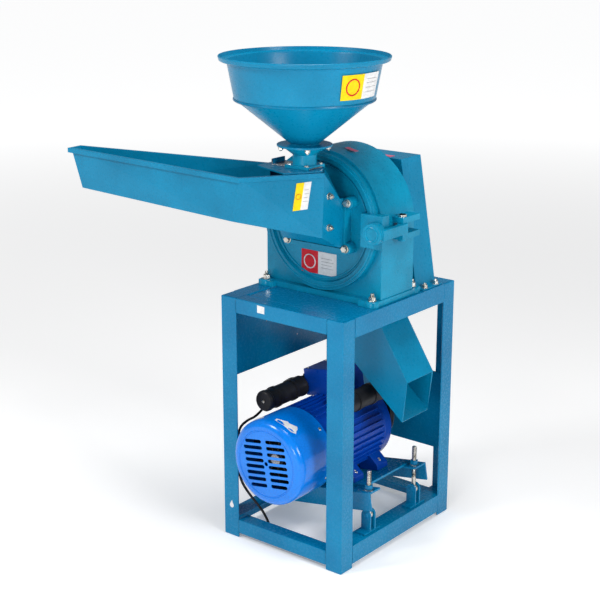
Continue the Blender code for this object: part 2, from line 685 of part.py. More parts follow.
def hopper(hinge):
    z = lid_bottom()
    centre = (HOPPER_X, HOPPER_Y)
    edge = SPOUT_X - 0.003
    bend = INLET_FRONT - GAP - 0.012 - 0.008
    outline = [(0.026, -0.219), (-0.046, -0.195), (-edge, -0.185), (-edge, bend + 0.001), (0.040, bend + 0.001),
               (edge, SPOUT_FRONT + 0.001), (edge, SPOUT_FRONT - 0.004)]
    hole = circle(HOPPER_X, HOPPER_Y, NECK_BORE)
    attach(slab("box_lid", [outline, hole], "z", z, z + LID_T, "teal"), hinge)

    gate_z = z + LID_T + GAP
    half = GATE_W / 2
    left, right = HOPPER_X - 0.068, HOPPER_X + NECK_FLANGE
    gate = box("gate_plate", (left, HOPPER_Y - half, gate_z), (right, HOPPER_Y + half, gate_z + GATE_T), "steel")
    fuse(gate, box("gate_tab", (left, HOPPER_Y - half, gate_z), (left + GATE_T, HOPPER_Y + half, gate_z + 0.012)))
    attach(gate, hinge)

    low = gate_z + GATE_T + GAP
    top = low + NECK_H
    collar = top - COLLAR_H
    neck = turned("hopper_neck", [(COLLAR_R, top), (COLLAR_R, top - 0.003), (NECK_R, collar), (NECK_R, low),
                                  (NECK_BORE, low), (NECK_BORE, top)], (*centre, 0), "teal", axis="z")
    f = NECK_FLANGE
    flange = slab("neck_flange", [[(HOPPER_X - f, HOPPER_Y - f), (HOPPER_X + f, HOPPER_Y - f),
                                   (HOPPER_X + f, HOPPER_Y + f), (HOPPER_X - f, HOPPER_Y + f)],
                                  circle(HOPPER_X, HOPPER_Y, NECK_R - 0.001, 32)], "z", low, low + 0.004)
    fuse(neck, flange)
    for side, word in ((-1, "near"), (1, "far")):
        y0, y1 = sorted((HOPPER_Y + side * (half + CLEAR), HOPPER_Y + side * f))
        fuse(neck, box(f"gate_guide_{word}", (HOPPER_X - f, y0, gate_z), (HOPPER_X + f, y1, low + 0.002)))
    attach(neck, hinge)
    attach(funnel(centre, top + GAP), hinge)


def funnel(centre, base):
    w = FUNNEL_WALL
    flange_top = base + FUNNEL_FLANGE_T
    cone_top = base + CONE_H
    band_top = cone_top + BAND_H
    rim = band_top + RIM_H
    throat = 0.047
    profile = [
        (RIM_R, rim), (RIM_R + w, rim - 0.003), (RIM_R, rim - 0.007), (BAND_R + w, band_top), (CONE_R + w, cone_top),
        (throat + w, flange_top), (FUNNEL_FLANGE_R, flange_top), (FUNNEL_FLANGE_R, base), (NECK_BORE, base),
        (NECK_BORE, flange_top), (throat - 0.002, flange_top), (CONE_R, cone_top + 0.001), (BAND_R, band_top + 0.001),
        (RIM_R - 0.004, rim - 0.001),
    ]
    return turned("hopper_funnel", profile, (*centre, 0), "teal", axis="z", steps=64)


def discharge_chute():
    top = FRAME_H - ANGLE_T - GAP - CHUTE_T / 2
    left = -FRAME_W / 2 + LEG + PLATE_SLOT - CHUTE_LAP
    (x0, z0), (x1, z1) = CHUTE_MOUTH
    corners = []
    for y in CHUTE_Y:
        corners += [(left, y, top), (CHUTE_TOP_RIGHT, y, top), (x1, y, z1), (x0, y, z0)]
    faces = [(0, 1, 2, 3), (4, 5, 6, 7), (1, 5, 6, 2), (0, 4, 7, 3)]
    thicken(mesh_object("discharge_chute", corners, faces, "teal"), CHUTE_T)


# ---------------------------------------------------------------- motor

def tilted(u, v):
    """World (x, z) of a point u along the motor plate from its pivot and v above it."""
    return (PIVOT_X + u * cos(TILT) - v * sin(TILT), PIVOT_Z + u * sin(TILT) + v * cos(TILT))


SEAT = BAR_TOP + SHEET_T            # height of the plate's upper face
MOTOR_V = SEAT + GAP + MOTOR_UP


def tilted_outline(pairs):
    return [tilted(u, v) for u, v in pairs]


def tilted_slab(name, pairs, low, high, finish=None):
    return slab(name, tilted_outline(pairs), "y", low, high, finish)


def rectangle(u0, u1, v0, v1):
    return [(u0, v0), (u1, v0), (u1, v1), (u0, v1)]


def bolt_slot(name, y):
    x = BOLT_X
    return box(name, (x - SLOT_U, y - SLOT_W, 0.105), (x + SLOT_U, y + SLOT_W, 0.175))


def motor_plate(tilt):
    """A sheet welded on two angle bars, which hang on the pivot rod and on the two eyebolts."""
    sheet = tilted_slab("motor_plate", rectangle(*SHEET_U, BAR_TOP - WELD_LAP, SEAT), *SHEET_Y, "teal")
    bars = []
    for name, face, inward, y in (("cross_bar_front", BAR_FRONT_Y, 1, BOLT_Y[0]),
                                  ("cross_bar_rear", BAR_REAR_Y, -1, BOLT_Y[1])):
        y0, y1 = sorted((face, face + inward * BAR_W))
        bar = tilted_slab(name, rectangle(BAR_LEFT, BAR_RIGHT, BAR_TOP - BAR_H, BAR_TOP), y0, y1)
        y2, y3 = sorted((face + inward * ANGLE_T, face + inward * (BAR_W + 0.01)))
        cut(bar, tilted_slab(name + "_inside", rectangle(BAR_LEFT - 0.01, BAR_RIGHT + 0.01, BAR_TOP - BAR_H - 0.01,
                                                         BAR_TOP - ANGLE_T), y2, y3))
        y4, y5 = sorted((face - inward * 0.01, face + inward * 0.02))
        cut(bar, turned(name + "_hole", rod_profile(PIVOT_R + CLEAR, y4, y5), (PIVOT_X, 0, PIVOT_Z), steps=24))
        bars.append(bar)
    fuse(sheet, *bars)
    for place, y in zip(("front", "rear"), BOLT_Y):
        cut(sheet, bolt_slot(f"bolt_slot_{place}", y))
    attach(sheet, tilt)


def pivot_bracket():
    """The fixed rod that the motor plate tips on, with the two lugs that hold it on the rail."""
    front = BAR_FRONT_Y - 2 * GAP - ANGLE_T
    rear = BAR_REAR_Y + 2 * GAP
    rod = turned("pivot_bracket", rod_profile(PIVOT_R, front - 0.006, rear + ANGLE_T + 0.006), (PIVOT_X, 0, PIVOT_Z),
                 "teal", steps=24)
    for name, low in (("lug_front", front), ("lug_rear", rear)):
        outline = [(PIVOT_X - 0.012, RAIL_TOP + GAP), (PIVOT_X + 0.012, RAIL_TOP + GAP)]
        outline += arc(PIVOT_X, PIVOT_Z, 0.012, 0, 180, 10)
        fuse(rod, slab(name, outline, "y", low, low + ANGLE_T))


def motor_body(tilt):
    x, z = tilted(MOTOR_U, MOTOR_V)
    low, high = BODY_Y
    wall = low + SHIELD_T
    cup = [(MOTOR_R, high), (MOTOR_R, low), (MOTOR_SHAFT_R + CLEAR, low), (MOTOR_SHAFT_R + CLEAR, wall),
           (BORE_R, wall), (BORE_R, high)]
    body = turned("motor_body", cup, (x, 0, z), "blue", steps=48)
    base = SEAT + GAP
    inset = FOOT_U - 0.030
    for index, (y0, y1) in enumerate(FEET_Y):
        for side in (-1, 1):
            pairs = [(MOTOR_U + side * FOOT_U, base), (MOTOR_U + side * FOOT_U, base + FOOT_V),
                     (MOTOR_U + side * inset, base + 0.048), (MOTOR_U + side * 0.030, base + 0.030),
                     (MOTOR_U + side * 0.040, base)]
            fuse(body, tilted_slab(f"foot_{index}_{side + 1}", pairs, y0, y1))
    attach(body, tilt)
    rear_shield(x, z, tilt)
    cover_and_fan(x, z, tilt)
    return x, z


def rear_shield(x, z, tilt):
    high = BODY_Y[1]
    bore = MOTOR_SHAFT_R + CLEAR
    back = [(MOTOR_R, high + GAP), (MOTOR_R, high + 0.024), (0.060, SHIELD_BACK - 0.006), (0.034, SHIELD_BACK),
            (bore, SHIELD_BACK), (bore, high + 0.020), (BORE_R, high + GAP)]
    attach(turned("motor_rear_shield", back[::-1], (x, 0, z), "blue", steps=48), tilt)


def cover_and_fan(x, z, tilt):
    back = BODY_Y[0] - GAP
    r, t = COVER_R, COVER_T
    shoulder = COVER_FRONT + COVER_SHOULDER
    profile = [
        (r, back), (r, shoulder), (r - 0.004, shoulder - 0.009), (COVER_FACE_R, COVER_FRONT), (0.006, COVER_FRONT),
        (0.006, COVER_FRONT + t), (COVER_FACE_R, COVER_FRONT + t), (r - 0.004 - t, shoulder - 0.009 + t),
        (r - t, shoulder + t), (r - t, back),
    ]
    attach(turned("fan_cover", profile, (x, 0, z), "blue", steps=64), tilt)


def motor_rotor(x, z, spin):
    low, high = BODY_Y
    end = BELT_Y + PULLEY_B / 2 + 0.003
    shaft = [(0, end), (MOTOR_SHAFT_R, end), (MOTOR_SHAFT_R, high - 0.020), (CORE_R, high - 0.020),
             (CORE_R, low + 0.026), (MOTOR_SHAFT_R, low + 0.026), (MOTOR_SHAFT_R, FAN_Y[0]), (0, FAN_Y[0])]
    attach(turned("motor_shaft", shaft, (x, 0, z), "steel"), spin)
    fan = [(FAN_R, FAN_Y[1]), (FAN_R, FAN_Y[1] - 0.006), (0.022, FAN_Y[1] - 0.010), (0.022, FAN_Y[0]),
           (MOTOR_SHAFT_R + GAP, FAN_Y[0]), (MOTOR_SHAFT_R + GAP, FAN_Y[1])]
    attach(turned("motor_fan", fan, (x, 0, z), "black"), spin)
    pulley("motor_pulley", MOTOR_PULLEY_R, MOTOR_SHAFT_R, x, z, spin)


def electrics(tilt):
    width, depth, height = TERMINAL
    base = MOTOR_V + MOTOR_R - 0.002
    saddle = [(MOTOR_U - width / 2, base + height), (MOTOR_U + width / 2, base + height),
              (MOTOR_U + width / 2, base), (MOTOR_U + 0.030, base)]
    hollow = [(MOTOR_U + u, MOTOR_V + v) for u, v in arc(0, 0, MOTOR_R + GAP, 70, 110, 8)]
    outline = saddle + hollow + [(MOTOR_U - 0.030, base), (MOTOR_U - width / 2, base)]
    attach(tilted_slab("terminal_box", outline, TERMINAL_Y - depth / 2, TERMINAL_Y + depth / 2, "blue"), tilt)
    for angle, start, name in zip(CAP_ANGLES, CAP_FRONT_Y, ("capacitor_start", "capacitor_run")):
        x, z = tilted(MOTOR_U + CAP_OUT * sin(angle), MOTOR_V + CAP_OUT * cos(angle))
        attach(turned(name, rod_profile(CAP_R, start, start + CAP_L), (x, 0, z), "black"), tilt)
    x, z = tilted(MOTOR_U - width / 2 - GAP, base + GLAND_UP)
    bore = CORD_D / 2 - 0.0005
    gland = turned("cord_gland", [(0, 0), (GLAND_R, 0), (GLAND_R, -0.010), (bore + 0.002, -GLAND_L), (0, -GLAND_L)],
                   (x, GLAND_Y, z), "black", axis="x", steps=16)
    gland.rotation_euler.y = radians(90) - TILT
    attach(gland, tilt)


def belt_loop(offset, x, z):
    """One edge of an open belt round the two pulleys, offset inwards from their rims."""
    lower, upper = MOTOR_PULLEY_R - offset, MILL_PULLEY_R - offset
    run = Vector((0 - x, AXIS_Z - z))
    lean = run.angle_signed(Vector((0, 1)))
    lean_deg = degrees(lean)
    dip = degrees((lower - upper) / run.length)
    top = arc(0, AXIS_Z, upper, dip - lean_deg, 180 - dip - lean_deg, 14)
    bottom = arc(x, z, lower, 180 - dip - lean_deg, 360 + dip - lean_deg, 14)
    return top + bottom


def v_belt(x, z):
    half = BELT_W / 2
    slab("v_belt", [belt_loop(0, x, z), belt_loop(BELT_T, x, z)], "y", BELT_Y - half, BELT_Y + half, "rubber")


def eyebolts():
    for place, y in zip(("front", "rear"), BOLT_Y):
        eye = slab(f"eyebolt_{place}", [circle(BOLT_X, EYE_Z, EYE_R), circle(BOLT_X, EYE_Z, BOLT_R + CLEAR, 16)],
                   "y", y - BOLT_R, y + BOLT_R, "teal", origin=(BOLT_X, y, EYE_Z))
        fuse(eye, turned(f"shank_{place}", rod_profile(BOLT_R, EYE_Z + EYE_R - 0.002, BOLT_TOP), (BOLT_X, y, 0),
                         axis="z", steps=16))
        clevis(place, y)
        u = (BOLT_X - PIVOT_X + BAR_TOP * sin(TILT)) / cos(TILT)
        seat = tilted(u, BAR_TOP)[1] + NUT_R * tan(TILT) + CLEAR
        hexagon = circle(BOLT_X, y, NUT_R, 6)
        slab(f"nut_{place}", [hexagon, circle(BOLT_X, y, BOLT_R + GAP, 16)], "z", seat, seat + NUT_H, "zinc",
             origin=(BOLT_X, y, seat))


def clevis(place, y):
    x, half = BOLT_X, TAB_W / 2
    base = RAIL_TOP + GAP
    foot = box(f"clevis_{place}", (x - half, y - 0.028, base), (x + half, y + 0.028, base + TAB_T), "teal")
    for side, word in ((-1, "near"), (1, "far")):
        y0, y1 = sorted((y + side * (BOLT_R + 0.001), y + side * (BOLT_R + 0.001 + TAB_T)))
        shape = [(x - half, base + TAB_T / 2), (x + half, base + TAB_T / 2), (x + half, EYE_Z)]
        shape += arc(x, EYE_Z, half, 15, 165, 8) + [(x - half, EYE_Z)]
        fuse(foot, slab(f"tab_{place}_{word}", shape, "y", y0, y1))
    fuse(foot, turned(f"clevis_pin_{place}", rod_profile(BOLT_R, -CLEVIS_PIN, CLEVIS_PIN), (x, y, EYE_Z), steps=16))


def smooth(points, spacing):
    """Points at about the given spacing on a smooth curve through the given ones."""
    ends = [2 * Vector(points[0]) - Vector(points[1])], [2 * Vector(points[-1]) - Vector(points[-2])]
    p = ends[0] + [Vector(q) for q in points] + ends[1]
    out = []
    for a, b, c, d in zip(p, p[1:], p[2:], p[3:]):
        steps = max(1, round((c - b).length / spacing))
        for i in range(steps):
            t = i / steps
            out.append(0.5 * (2 * b + (c - a) * t + (2 * a - 5 * b + 4 * c - d) * t * t
                              + (3 * b - a - 3 * c + d) * t ** 3))
    return out + [Vector(points[-1])]


def mains_lead():
    points = smooth(ROUTE, 2.5 * CORD_D)
    curve = bpy.data.curves.new("mains_cord", "CURVE")
    curve.dimensions = "3D"
    curve.bevel_depth = CORD_D / 2
    curve.bevel_resolution = 2
    curve.use_fill_caps = True
    spline = curve.splines.new("POLY")
    spline.points.add(len(points) - 1)
    for point, spot in zip(spline.points, points):
        point.co = (*spot, 1)
    obj = bpy.data.objects.new("mains_cord", curve)
    bpy.context.scene.collection.objects.link(obj)
    bake(obj, "mains_cord", "rubber")
    half = HANK_R + (HANK_WIDE - 0.5) * CORD_D
    x0, x1 = HANK_X + half, HANK_X + half + HANK_RUN
    outline = arc(x0, HANK_Y, half, 90, 270, 10) + arc(x1, HANK_Y, half, -90, 90, 10)
    slab("cord_hank", outline, "z", GAP, GAP + HANK_HIGH * CORD_D + 0.001, "rubber")
    length, width, height = PLUG
    x2 = x1 + half + GAP
    plug = box("mains_plug", (x2, HANK_Y - width / 2, GAP), (x2 + length, HANK_Y + width / 2, GAP + height), "black")
    for side in (-1, 1):
        fuse(plug, turned(f"plug_pin_{side + 1}", rod_profile(PLUG_PIN_R, -0.002, PLUG_PIN_L),
                          (x2 + length, HANK_Y + side * 0.0095, GAP + height / 2), axis="x", steps=12))


def build():
    legs()
    rails_along_x()
    rails_along_y()
    top_plate()
    panels()
    mill_housing()
    bearings()
    hinge = pivot("door_hinge", (HINGE_X, HINGE_Y, AXIS_Z))
    mill_door(hinge)
    hinge_arm(hinge)
    hinge_pin()
    clamp_knob(hinge)
    screen_ring()
    mill_spin = pivot("mill_spin", (0, 0, AXIS_Z))
    rotor(mill_spin)
    hammers(mill_spin)
    pulley("mill_pulley", MILL_PULLEY_R, SHAFT_R, 0, AXIS_Z, mill_spin)
    belt_guard()
    feed_tray(hinge)
    hopper(hinge)
    discharge_chute()
    tilt = pivot("plate_tilt", (PIVOT_X, 0, PIVOT_Z))
    motor_plate(tilt)
    pivot_bracket()
    x, z = motor_body(tilt)
    motor_spin = pivot("motor_spin", (x, 0, z), tilt)
    motor_rotor(x, z, motor_spin)
    electrics(tilt)
    v_belt(x, z)
    eyebolts()
    mains_lead()


build()
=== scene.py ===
"""Looks of the hammer mill: paint, castings, fasteners, motor, labels, belt and mains lead.

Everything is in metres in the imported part's frame: X along the front, which faces -Y, and Z up.
"""

import json
from math import asin, atan2, cos, pi, radians, sin

import bmesh
import bpy
from mathutils import Matrix, Vector
from mathutils.bvhtree import BVHTree


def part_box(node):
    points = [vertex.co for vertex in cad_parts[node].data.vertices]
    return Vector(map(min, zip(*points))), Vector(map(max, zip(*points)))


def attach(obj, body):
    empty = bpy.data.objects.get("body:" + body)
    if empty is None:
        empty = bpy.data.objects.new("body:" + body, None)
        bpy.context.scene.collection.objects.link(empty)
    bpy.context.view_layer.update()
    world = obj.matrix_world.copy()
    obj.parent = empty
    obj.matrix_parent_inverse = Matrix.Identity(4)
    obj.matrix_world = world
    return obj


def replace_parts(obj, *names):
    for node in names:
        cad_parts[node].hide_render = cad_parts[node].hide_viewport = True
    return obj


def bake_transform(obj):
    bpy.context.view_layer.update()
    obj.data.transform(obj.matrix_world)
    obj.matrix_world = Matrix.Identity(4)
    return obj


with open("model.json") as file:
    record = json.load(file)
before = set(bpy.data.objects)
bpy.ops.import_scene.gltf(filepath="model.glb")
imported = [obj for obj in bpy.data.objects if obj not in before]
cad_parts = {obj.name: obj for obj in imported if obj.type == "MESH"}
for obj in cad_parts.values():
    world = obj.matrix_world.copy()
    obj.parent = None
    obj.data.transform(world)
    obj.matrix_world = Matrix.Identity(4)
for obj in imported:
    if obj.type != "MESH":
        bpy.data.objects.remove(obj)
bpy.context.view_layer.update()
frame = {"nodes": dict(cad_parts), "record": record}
NODES = frame["nodes"]
JOINTS = {joint["name"]: joint for joint in frame["record"]["behaviour"]["joints"]}

# Places read from the frame
MILL = Vector(JOINTS["rotor_spin"]["pos_m"])
MOTOR = Vector(JOINTS["motor_spin"]["pos_m"])
PIVOT = Vector(JOINTS["motor_tilt"]["pos_m"])
HINGE = Vector(JOINTS["door_swing"]["pos_m"])
TILT = radians(9.65)            # the motor plate's slope at rest
DOOR_FACE, DOOR_FRONT = -0.0674, -0.0743     # the door's plate and its rim
BOSS_X = 0.152                               # hinge boss on the door's arm
MOTOR_U, FEET_TOP = 0.152, 0.0402            # motor's middle along its plate, and the top of its feet
EYEBOLT_X, EYE_Z, BOLT_R = 0.140, 0.088, 0.005
COWL_R, COWL_FACE_R, COWL_SHEET, COWL_SHOULDER = 0.0925, 0.076, 0.0015, 0.016
MILL_PULLEY_R, MOTOR_PULLEY_R, BELT_T, BELT_PROUD = 0.040, 0.055, 0.009, 0.0015

# Camera
CAMERA_AT, CAMERA_AZ, CAMERA_EL = (1.644, -2.192, 1.315), 38.64, 16.34
LENS = 80.76

# Mains lead, laid where the part's own solids lie
CORD_D = 0.0055
HANK_RUN, HANK_R, TURN_PITCH = 0.085, 0.0168, 0.0058
HANK_X, HANK_Y = -0.0455, -0.147
ROUTE = [(-0.1131, -0.0080, 0.3134), (-0.127, -0.0095, 0.3095), (-0.138, -0.020, 0.300),
         (-0.143, -0.042, 0.286), (-0.141, -0.070, 0.272), (-0.134, -0.100, 0.262),
         (-0.127, -0.132, 0.2575), (-0.125, -0.158, 0.257), (-0.1285, -0.176, 0.248),
         (-0.133, -0.181, 0.226), (-0.135, -0.182, 0.190), (-0.1335, -0.181, 0.152),
         (-0.125, -0.1795, 0.122), (-0.109, -0.177, 0.100), (-0.093, -0.172, 0.081),
         (-0.0805, -0.164, 0.060), (-0.073, -0.158, 0.040), (-0.0665, -0.1545, 0.022),
         (-0.0575, -0.1550, 0.0088), (-0.0470, -0.1600, 0.0038), (-0.0350, -0.1660, 0.0032),
         (-0.0250, -0.1691, 0.0032)]


# ---------------------------------------------------------------- materials

def new_material(name):
    material = bpy.data.materials.new(name)
    material.use_nodes = True
    return material, material.node_tree, material.node_tree.nodes["Principled BSDF"]


def noise(tree, scale, detail=3.0, stretch=(1, 1, 1)):
    coords = tree.nodes.new("ShaderNodeTexCoord")
    mapping = tree.nodes.new("ShaderNodeMapping")
    mapping.inputs["Scale"].default_value = stretch
    made = tree.nodes.new("ShaderNodeTexNoise")
    made.inputs["Scale"].default_value = scale
    made.inputs["Detail"].default_value = detail
    tree.links.new(coords.outputs["Object"], mapping.inputs["Vector"])
    tree.links.new(mapping.outputs["Vector"], made.inputs["Vector"])
    return made.outputs["Fac"]


def ramp(tree, value, stops):
    made = tree.nodes.new("ShaderNodeValToRGB")
    elements = made.color_ramp.elements
    while len(elements) < len(stops):
        elements.new(0.5)
    for element, (place, colour) in zip(elements, stops):
        element.position = place
        element.color = (*colour, 1) if isinstance(colour, tuple) else (colour, colour, colour, 1)
    tree.links.new(value, made.inputs["Fac"])
    return made.outputs["Color"]


def bump(tree, shader, height, strength, distance):
    made = tree.nodes.new("ShaderNodeBump")
    made.inputs["Strength"].default_value = strength
    made.inputs["Distance"].default_value = distance
    tree.links.new(height, made.inputs["Height"])
    tree.links.new(made.outputs["Normal"], shader.inputs["Normal"])


def finish_of(name, dark, light, rough, grain, strength, metallic=0.0, patch=7, coat=0.0, stretch=(1, 1, 1),
              gloss=0.20):
    """A finish with slow colour drift, fine grain in its height and an uneven gloss."""
    material, tree, shader = new_material(name)
    drift = ramp(tree, noise(tree, patch, 4, stretch), [(0.32, dark), (0.68, light)])
    speck = noise(tree, grain, 2, stretch)
    mix = tree.nodes.new("ShaderNodeMixRGB")
    mix.blend_type = "MULTIPLY"
    mix.inputs["Fac"].default_value = 0.55
    tree.links.new(drift, mix.inputs[1])
    tree.links.new(ramp(tree, speck, [(0.3, 0.72), (0.62, 1.0)]), mix.inputs[2])
    tree.links.new(mix.outputs["Color"], shader.inputs["Base Color"])
    tree.links.new(ramp(tree, noise(tree, grain * 0.35, 3, stretch), [(0.3, rough[0]), (0.7, rough[1])]),
                   shader.inputs["Roughness"])
    shader.inputs["Metallic"].default_value = metallic
    shader.inputs["Specular IOR Level"].default_value = 0.5 if metallic else gloss
    shader.inputs["Coat Weight"].default_value = coat
    shader.inputs["Coat Roughness"].default_value = 0.12
    bump(tree, shader, speck, strength, 0.0006)
    return material


def ink(name, dark, light, rough=(0.35, 0.5)):
    """A sticker's print: nearly even, faintly grained."""
    return finish_of(name, dark, light, rough, 900, 0.05, patch=90)


def perforated(name):
    """Steel with round holes in rows round the mill's axis; the holes are near-black discs of painted shade,
    not openings.
    """
    material, tree, shader = new_material(name)
    coords = tree.nodes.new("ShaderNodeTexCoord")
    cells = tree.nodes.new("ShaderNodeTexVoronoi")
    cells.inputs["Scale"].default_value = 170
    cells.inputs["Randomness"].default_value = 0.0
    tree.links.new(coords.outputs["Object"], cells.inputs["Vector"])
    tree.links.new(ramp(tree, cells.outputs["Distance"], [(0.30, 0.015), (0.36, 0.55)]),
                   shader.inputs["Base Color"])
    tree.links.new(ramp(tree, cells.outputs["Distance"], [(0.30, 0.0), (0.36, 1.0)]),
                   shader.inputs["Metallic"])
    tree.links.new(ramp(tree, noise(tree, 90, 3), [(0.3, 0.25), (0.7, 0.45)]), shader.inputs["Roughness"])
    bump(tree, shader, cells.outputs["Distance"], 0.3, 0.0004)
    return material


M = {
    "gloss": finish_of("gloss_enamel", (0.0, 0.17, 0.36), (0.0, 0.23, 0.45), (0.20, 0.32), 520, 0.10,
                       coat=0.07),
    "hammer": finish_of("hammertone_cast", (0.0, 0.21, 0.36), (0.0, 0.32, 0.53), (0.24, 0.42), 330, 0.42,
                        coat=0.08, patch=11),
    "sheet": finish_of("sheet_enamel", (0.0, 0.175, 0.33), (0.0, 0.24, 0.44), (0.24, 0.38), 420, 0.20,
                       coat=0.07),
    "blue": finish_of("motor_enamel", (0.0, 0.16, 0.66), (0.0, 0.23, 0.86), (0.14, 0.26), 260, 0.08,
                      coat=0.5),
    # The motor's blue made darker as painted shade, for the barrel, end shield, terminal box and fins.
    "blue_painted_shade": finish_of("motor_blue_painted_shade", (0.0, 0.045, 0.36), (0.0, 0.075, 0.50), (0.26, 0.40), 300, 0.25,
                      coat=0.2),
    "zinc": finish_of("zinc_plate", (0.50, 0.47, 0.40), (0.78, 0.77, 0.74), (0.22, 0.42), 700, 0.10, 1.0,
                      patch=60),
    "steel": finish_of("bare_steel", (0.42, 0.42, 0.43), (0.66, 0.66, 0.67), (0.22, 0.40), 500, 0.12, 1.0,
                       patch=20, stretch=(1, 6, 1)),
    "iron": finish_of("machined_iron", (0.10, 0.10, 0.105), (0.24, 0.24, 0.25), (0.35, 0.55), 380, 0.25,
                      0.9, patch=25),
    "black": finish_of("black_moulding", (0.012, 0.012, 0.014), (0.028, 0.028, 0.031), (0.28, 0.42), 900,
                       0.10, patch=30),
    "rubber": finish_of("black_rubber", (0.012, 0.012, 0.013), (0.026, 0.026, 0.027), (0.55, 0.75), 1300,
                        0.2, patch=40),
    "weld": finish_of("painted_weld", (0.0, 0.13, 0.27), (0.001, 0.20, 0.38), (0.22, 0.4), 300, 0.6,
                      coat=0.07),
    "white": ink("label_white", (0.72, 0.72, 0.72), (0.86, 0.86, 0.86)),
    "yellow": ink("label_yellow", (0.86, 0.60, 0.0), (0.95, 0.72, 0.005)),
    "red": ink("label_red", (0.62, 0.008, 0.02), (0.78, 0.015, 0.035)),
    "pink": ink("label_pink", (0.66, 0.10, 0.20), (0.80, 0.20, 0.30)),
    "grey": ink("label_grey", (0.35, 0.35, 0.36), (0.5, 0.5, 0.5), (0.4, 0.6)),
    "holes": perforated("perforated_screen"),
}


# ---------------------------------------------------------------- pieces

def piece(name, mesh, material, body, smooth=30):
    obj = bpy.data.objects.new(name, mesh)
    bpy.context.scene.collection.objects.link(obj)
    mesh.materials.clear()
    mesh.materials.append(M[material])
    if smooth:
        mesh.set_sharp_from_angle(angle=radians(smooth))
        mesh.polygons.foreach_set("use_smooth", [True] * len(mesh.polygons))
    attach(obj, body)
    return obj


def to_mesh(name, work):
    mesh = bpy.data.meshes.new(name)
    bmesh.ops.recalc_face_normals(work, faces=work.faces)
    work.to_mesh(mesh)
    work.free()
    return mesh


def basis(direction):
    """A turn that takes +Z to the direction."""
    return Vector((0, 0, 1)).rotation_difference(Vector(direction).normalized()).to_matrix().to_4x4()


def lathe_work(profile, at, direction, steps=48, closed=True):
    """A profile of (radius, height) points turned round a line."""
    work = bmesh.new()
    rings = []
    for radius, height in profile:
        if radius < 1e-7:
            rings.append([work.verts.new((0, 0, height))])
        else:
            rings.append([work.verts.new((radius * cos(2 * pi * i / steps),
                                          radius * sin(2 * pi * i / steps), height)) for i in range(steps)])
    pairs = list(zip(rings, rings[1:] + rings[:1]))
    for low, high in pairs if closed and len(rings[0]) > 1 and len(rings[-1]) > 1 else pairs[:-1]:
        for i in range(steps):
            j = (i + 1) % steps
            corners = [low[i % len(low)], low[j % len(low)], high[j % len(high)], high[i % len(high)]]
            unique = list(dict.fromkeys(corners))
            if len(unique) > 2:
                work.faces.new(unique)
    bmesh.ops.transform(work, matrix=Matrix.Translation(Vector(at)) @ basis(direction), verts=work.verts)
    return work


def lathe(name, profile, at, direction, material, body, steps=48):
    return piece(name, to_mesh(name, lathe_work(profile, at, direction, steps)), material, body)


def prism_work(outline, low, high):
    """An (x, y) outline given depth along +Z."""
    work = bmesh.new()
    bottom = work.faces.new([work.verts.new((x, y, low)) for x, y in outline])
    top = bmesh.ops.extrude_face_region(work, geom=[bottom])
    moved = [v for v in top["geom"] if isinstance(v, bmesh.types.BMVert)]
    bmesh.ops.translate(work, vec=(0, 0, high - low), verts=moved)
    bmesh.ops.recalc_face_normals(work, faces=work.faces)
    return work


def merge(works):
    """Several shapes as one mesh."""
    whole = bmesh.new()
    for work in works:
        part = bpy.data.meshes.new("part")
        work.to_mesh(part)
        work.free()
        whole.from_mesh(part)
        bpy.data.meshes.remove(part)
    return whole


def placed(work, matrix):
    bmesh.ops.transform(work, matrix=matrix, verts=work.verts)
    return work


def box_work(low, high):
    x0, y0, z0 = low
    x1, y1, z1 = high
    return prism_work([(x0, y0), (x1, y0), (x1, y1), (x0, y1)], z0, z1)


def rounded(obj, width, segments=2, angle=30):
    bevel = obj.modifiers.new("Edges", "BEVEL")
    bevel.width = width
    bevel.segments = segments
    bevel.limit_method = "ANGLE"
    bevel.angle_limit = radians(angle)
    bevel.use_clamp_overlap = True
    bevel.harden_normals = True
    return obj


def soften(node, width, material, body, segments=2, angle=30):
    """The node's own shape with rounded edges, in its place."""
    work = bmesh.new()
    work.from_mesh(NODES[node].data)
    bmesh.ops.remove_doubles(work, verts=work.verts, dist=1e-6)
    bmesh.ops.dissolve_limit(work, angle_limit=radians(1), verts=work.verts, edges=work.edges)
    obj = piece(node + "_skin", to_mesh(node + "_skin", work), material, body)
    rounded(obj, width, segments, angle)
    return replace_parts(obj, node)


def carve(obj, works):
    """Cuts the shapes out of a piece."""
    cutter_mesh = to_mesh("cutter", merge(works))
    cutter = bpy.data.objects.new("cutter", cutter_mesh)
    bpy.context.scene.collection.objects.link(cutter)
    modifier = obj.modifiers.new("Cut", "BOOLEAN")
    modifier.solver = "EXACT"
    modifier.object = cutter
    bake(obj)
    bpy.data.objects.remove(cutter, do_unlink=True)
    obj.data.set_sharp_from_angle(angle=radians(30))
    return obj


def bake(obj):
    graph = bpy.context.evaluated_depsgraph_get()
    mesh = bpy.data.meshes.new_from_object(obj.evaluated_get(graph))
    obj.modifiers.clear()
    obj.data = mesh
    return obj


def tube(name, points, radius, material, body, cyclic=False, resolution=4):
    curve = bpy.data.curves.new(name, "CURVE")
    curve.dimensions = "3D"
    curve.bevel_depth = radius
    curve.bevel_resolution = resolution
    curve.use_fill_caps = True
    spline = curve.splines.new("POLY")
    spline.points.add(len(points) - 1)
    spline.use_cyclic_u = cyclic
    for point, spot in zip(spline.points, points):
        point.co = (*spot, 1)
    obj = bpy.data.objects.new(name, curve)
    bpy.context.scene.collection.objects.link(obj)
    curve.materials.append(M[material])
    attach(obj, body)
    return obj


def arc(cx, cy, radius, start, end, steps):
    return [(cx + radius * cos(radians(start + (end - start) * i / steps)),
             cy + radius * sin(radians(start + (end - start) * i / steps))) for i in range(steps + 1)]


def hexagon(radius):
    return arc(0, 0, radius, 0, 300, 5)


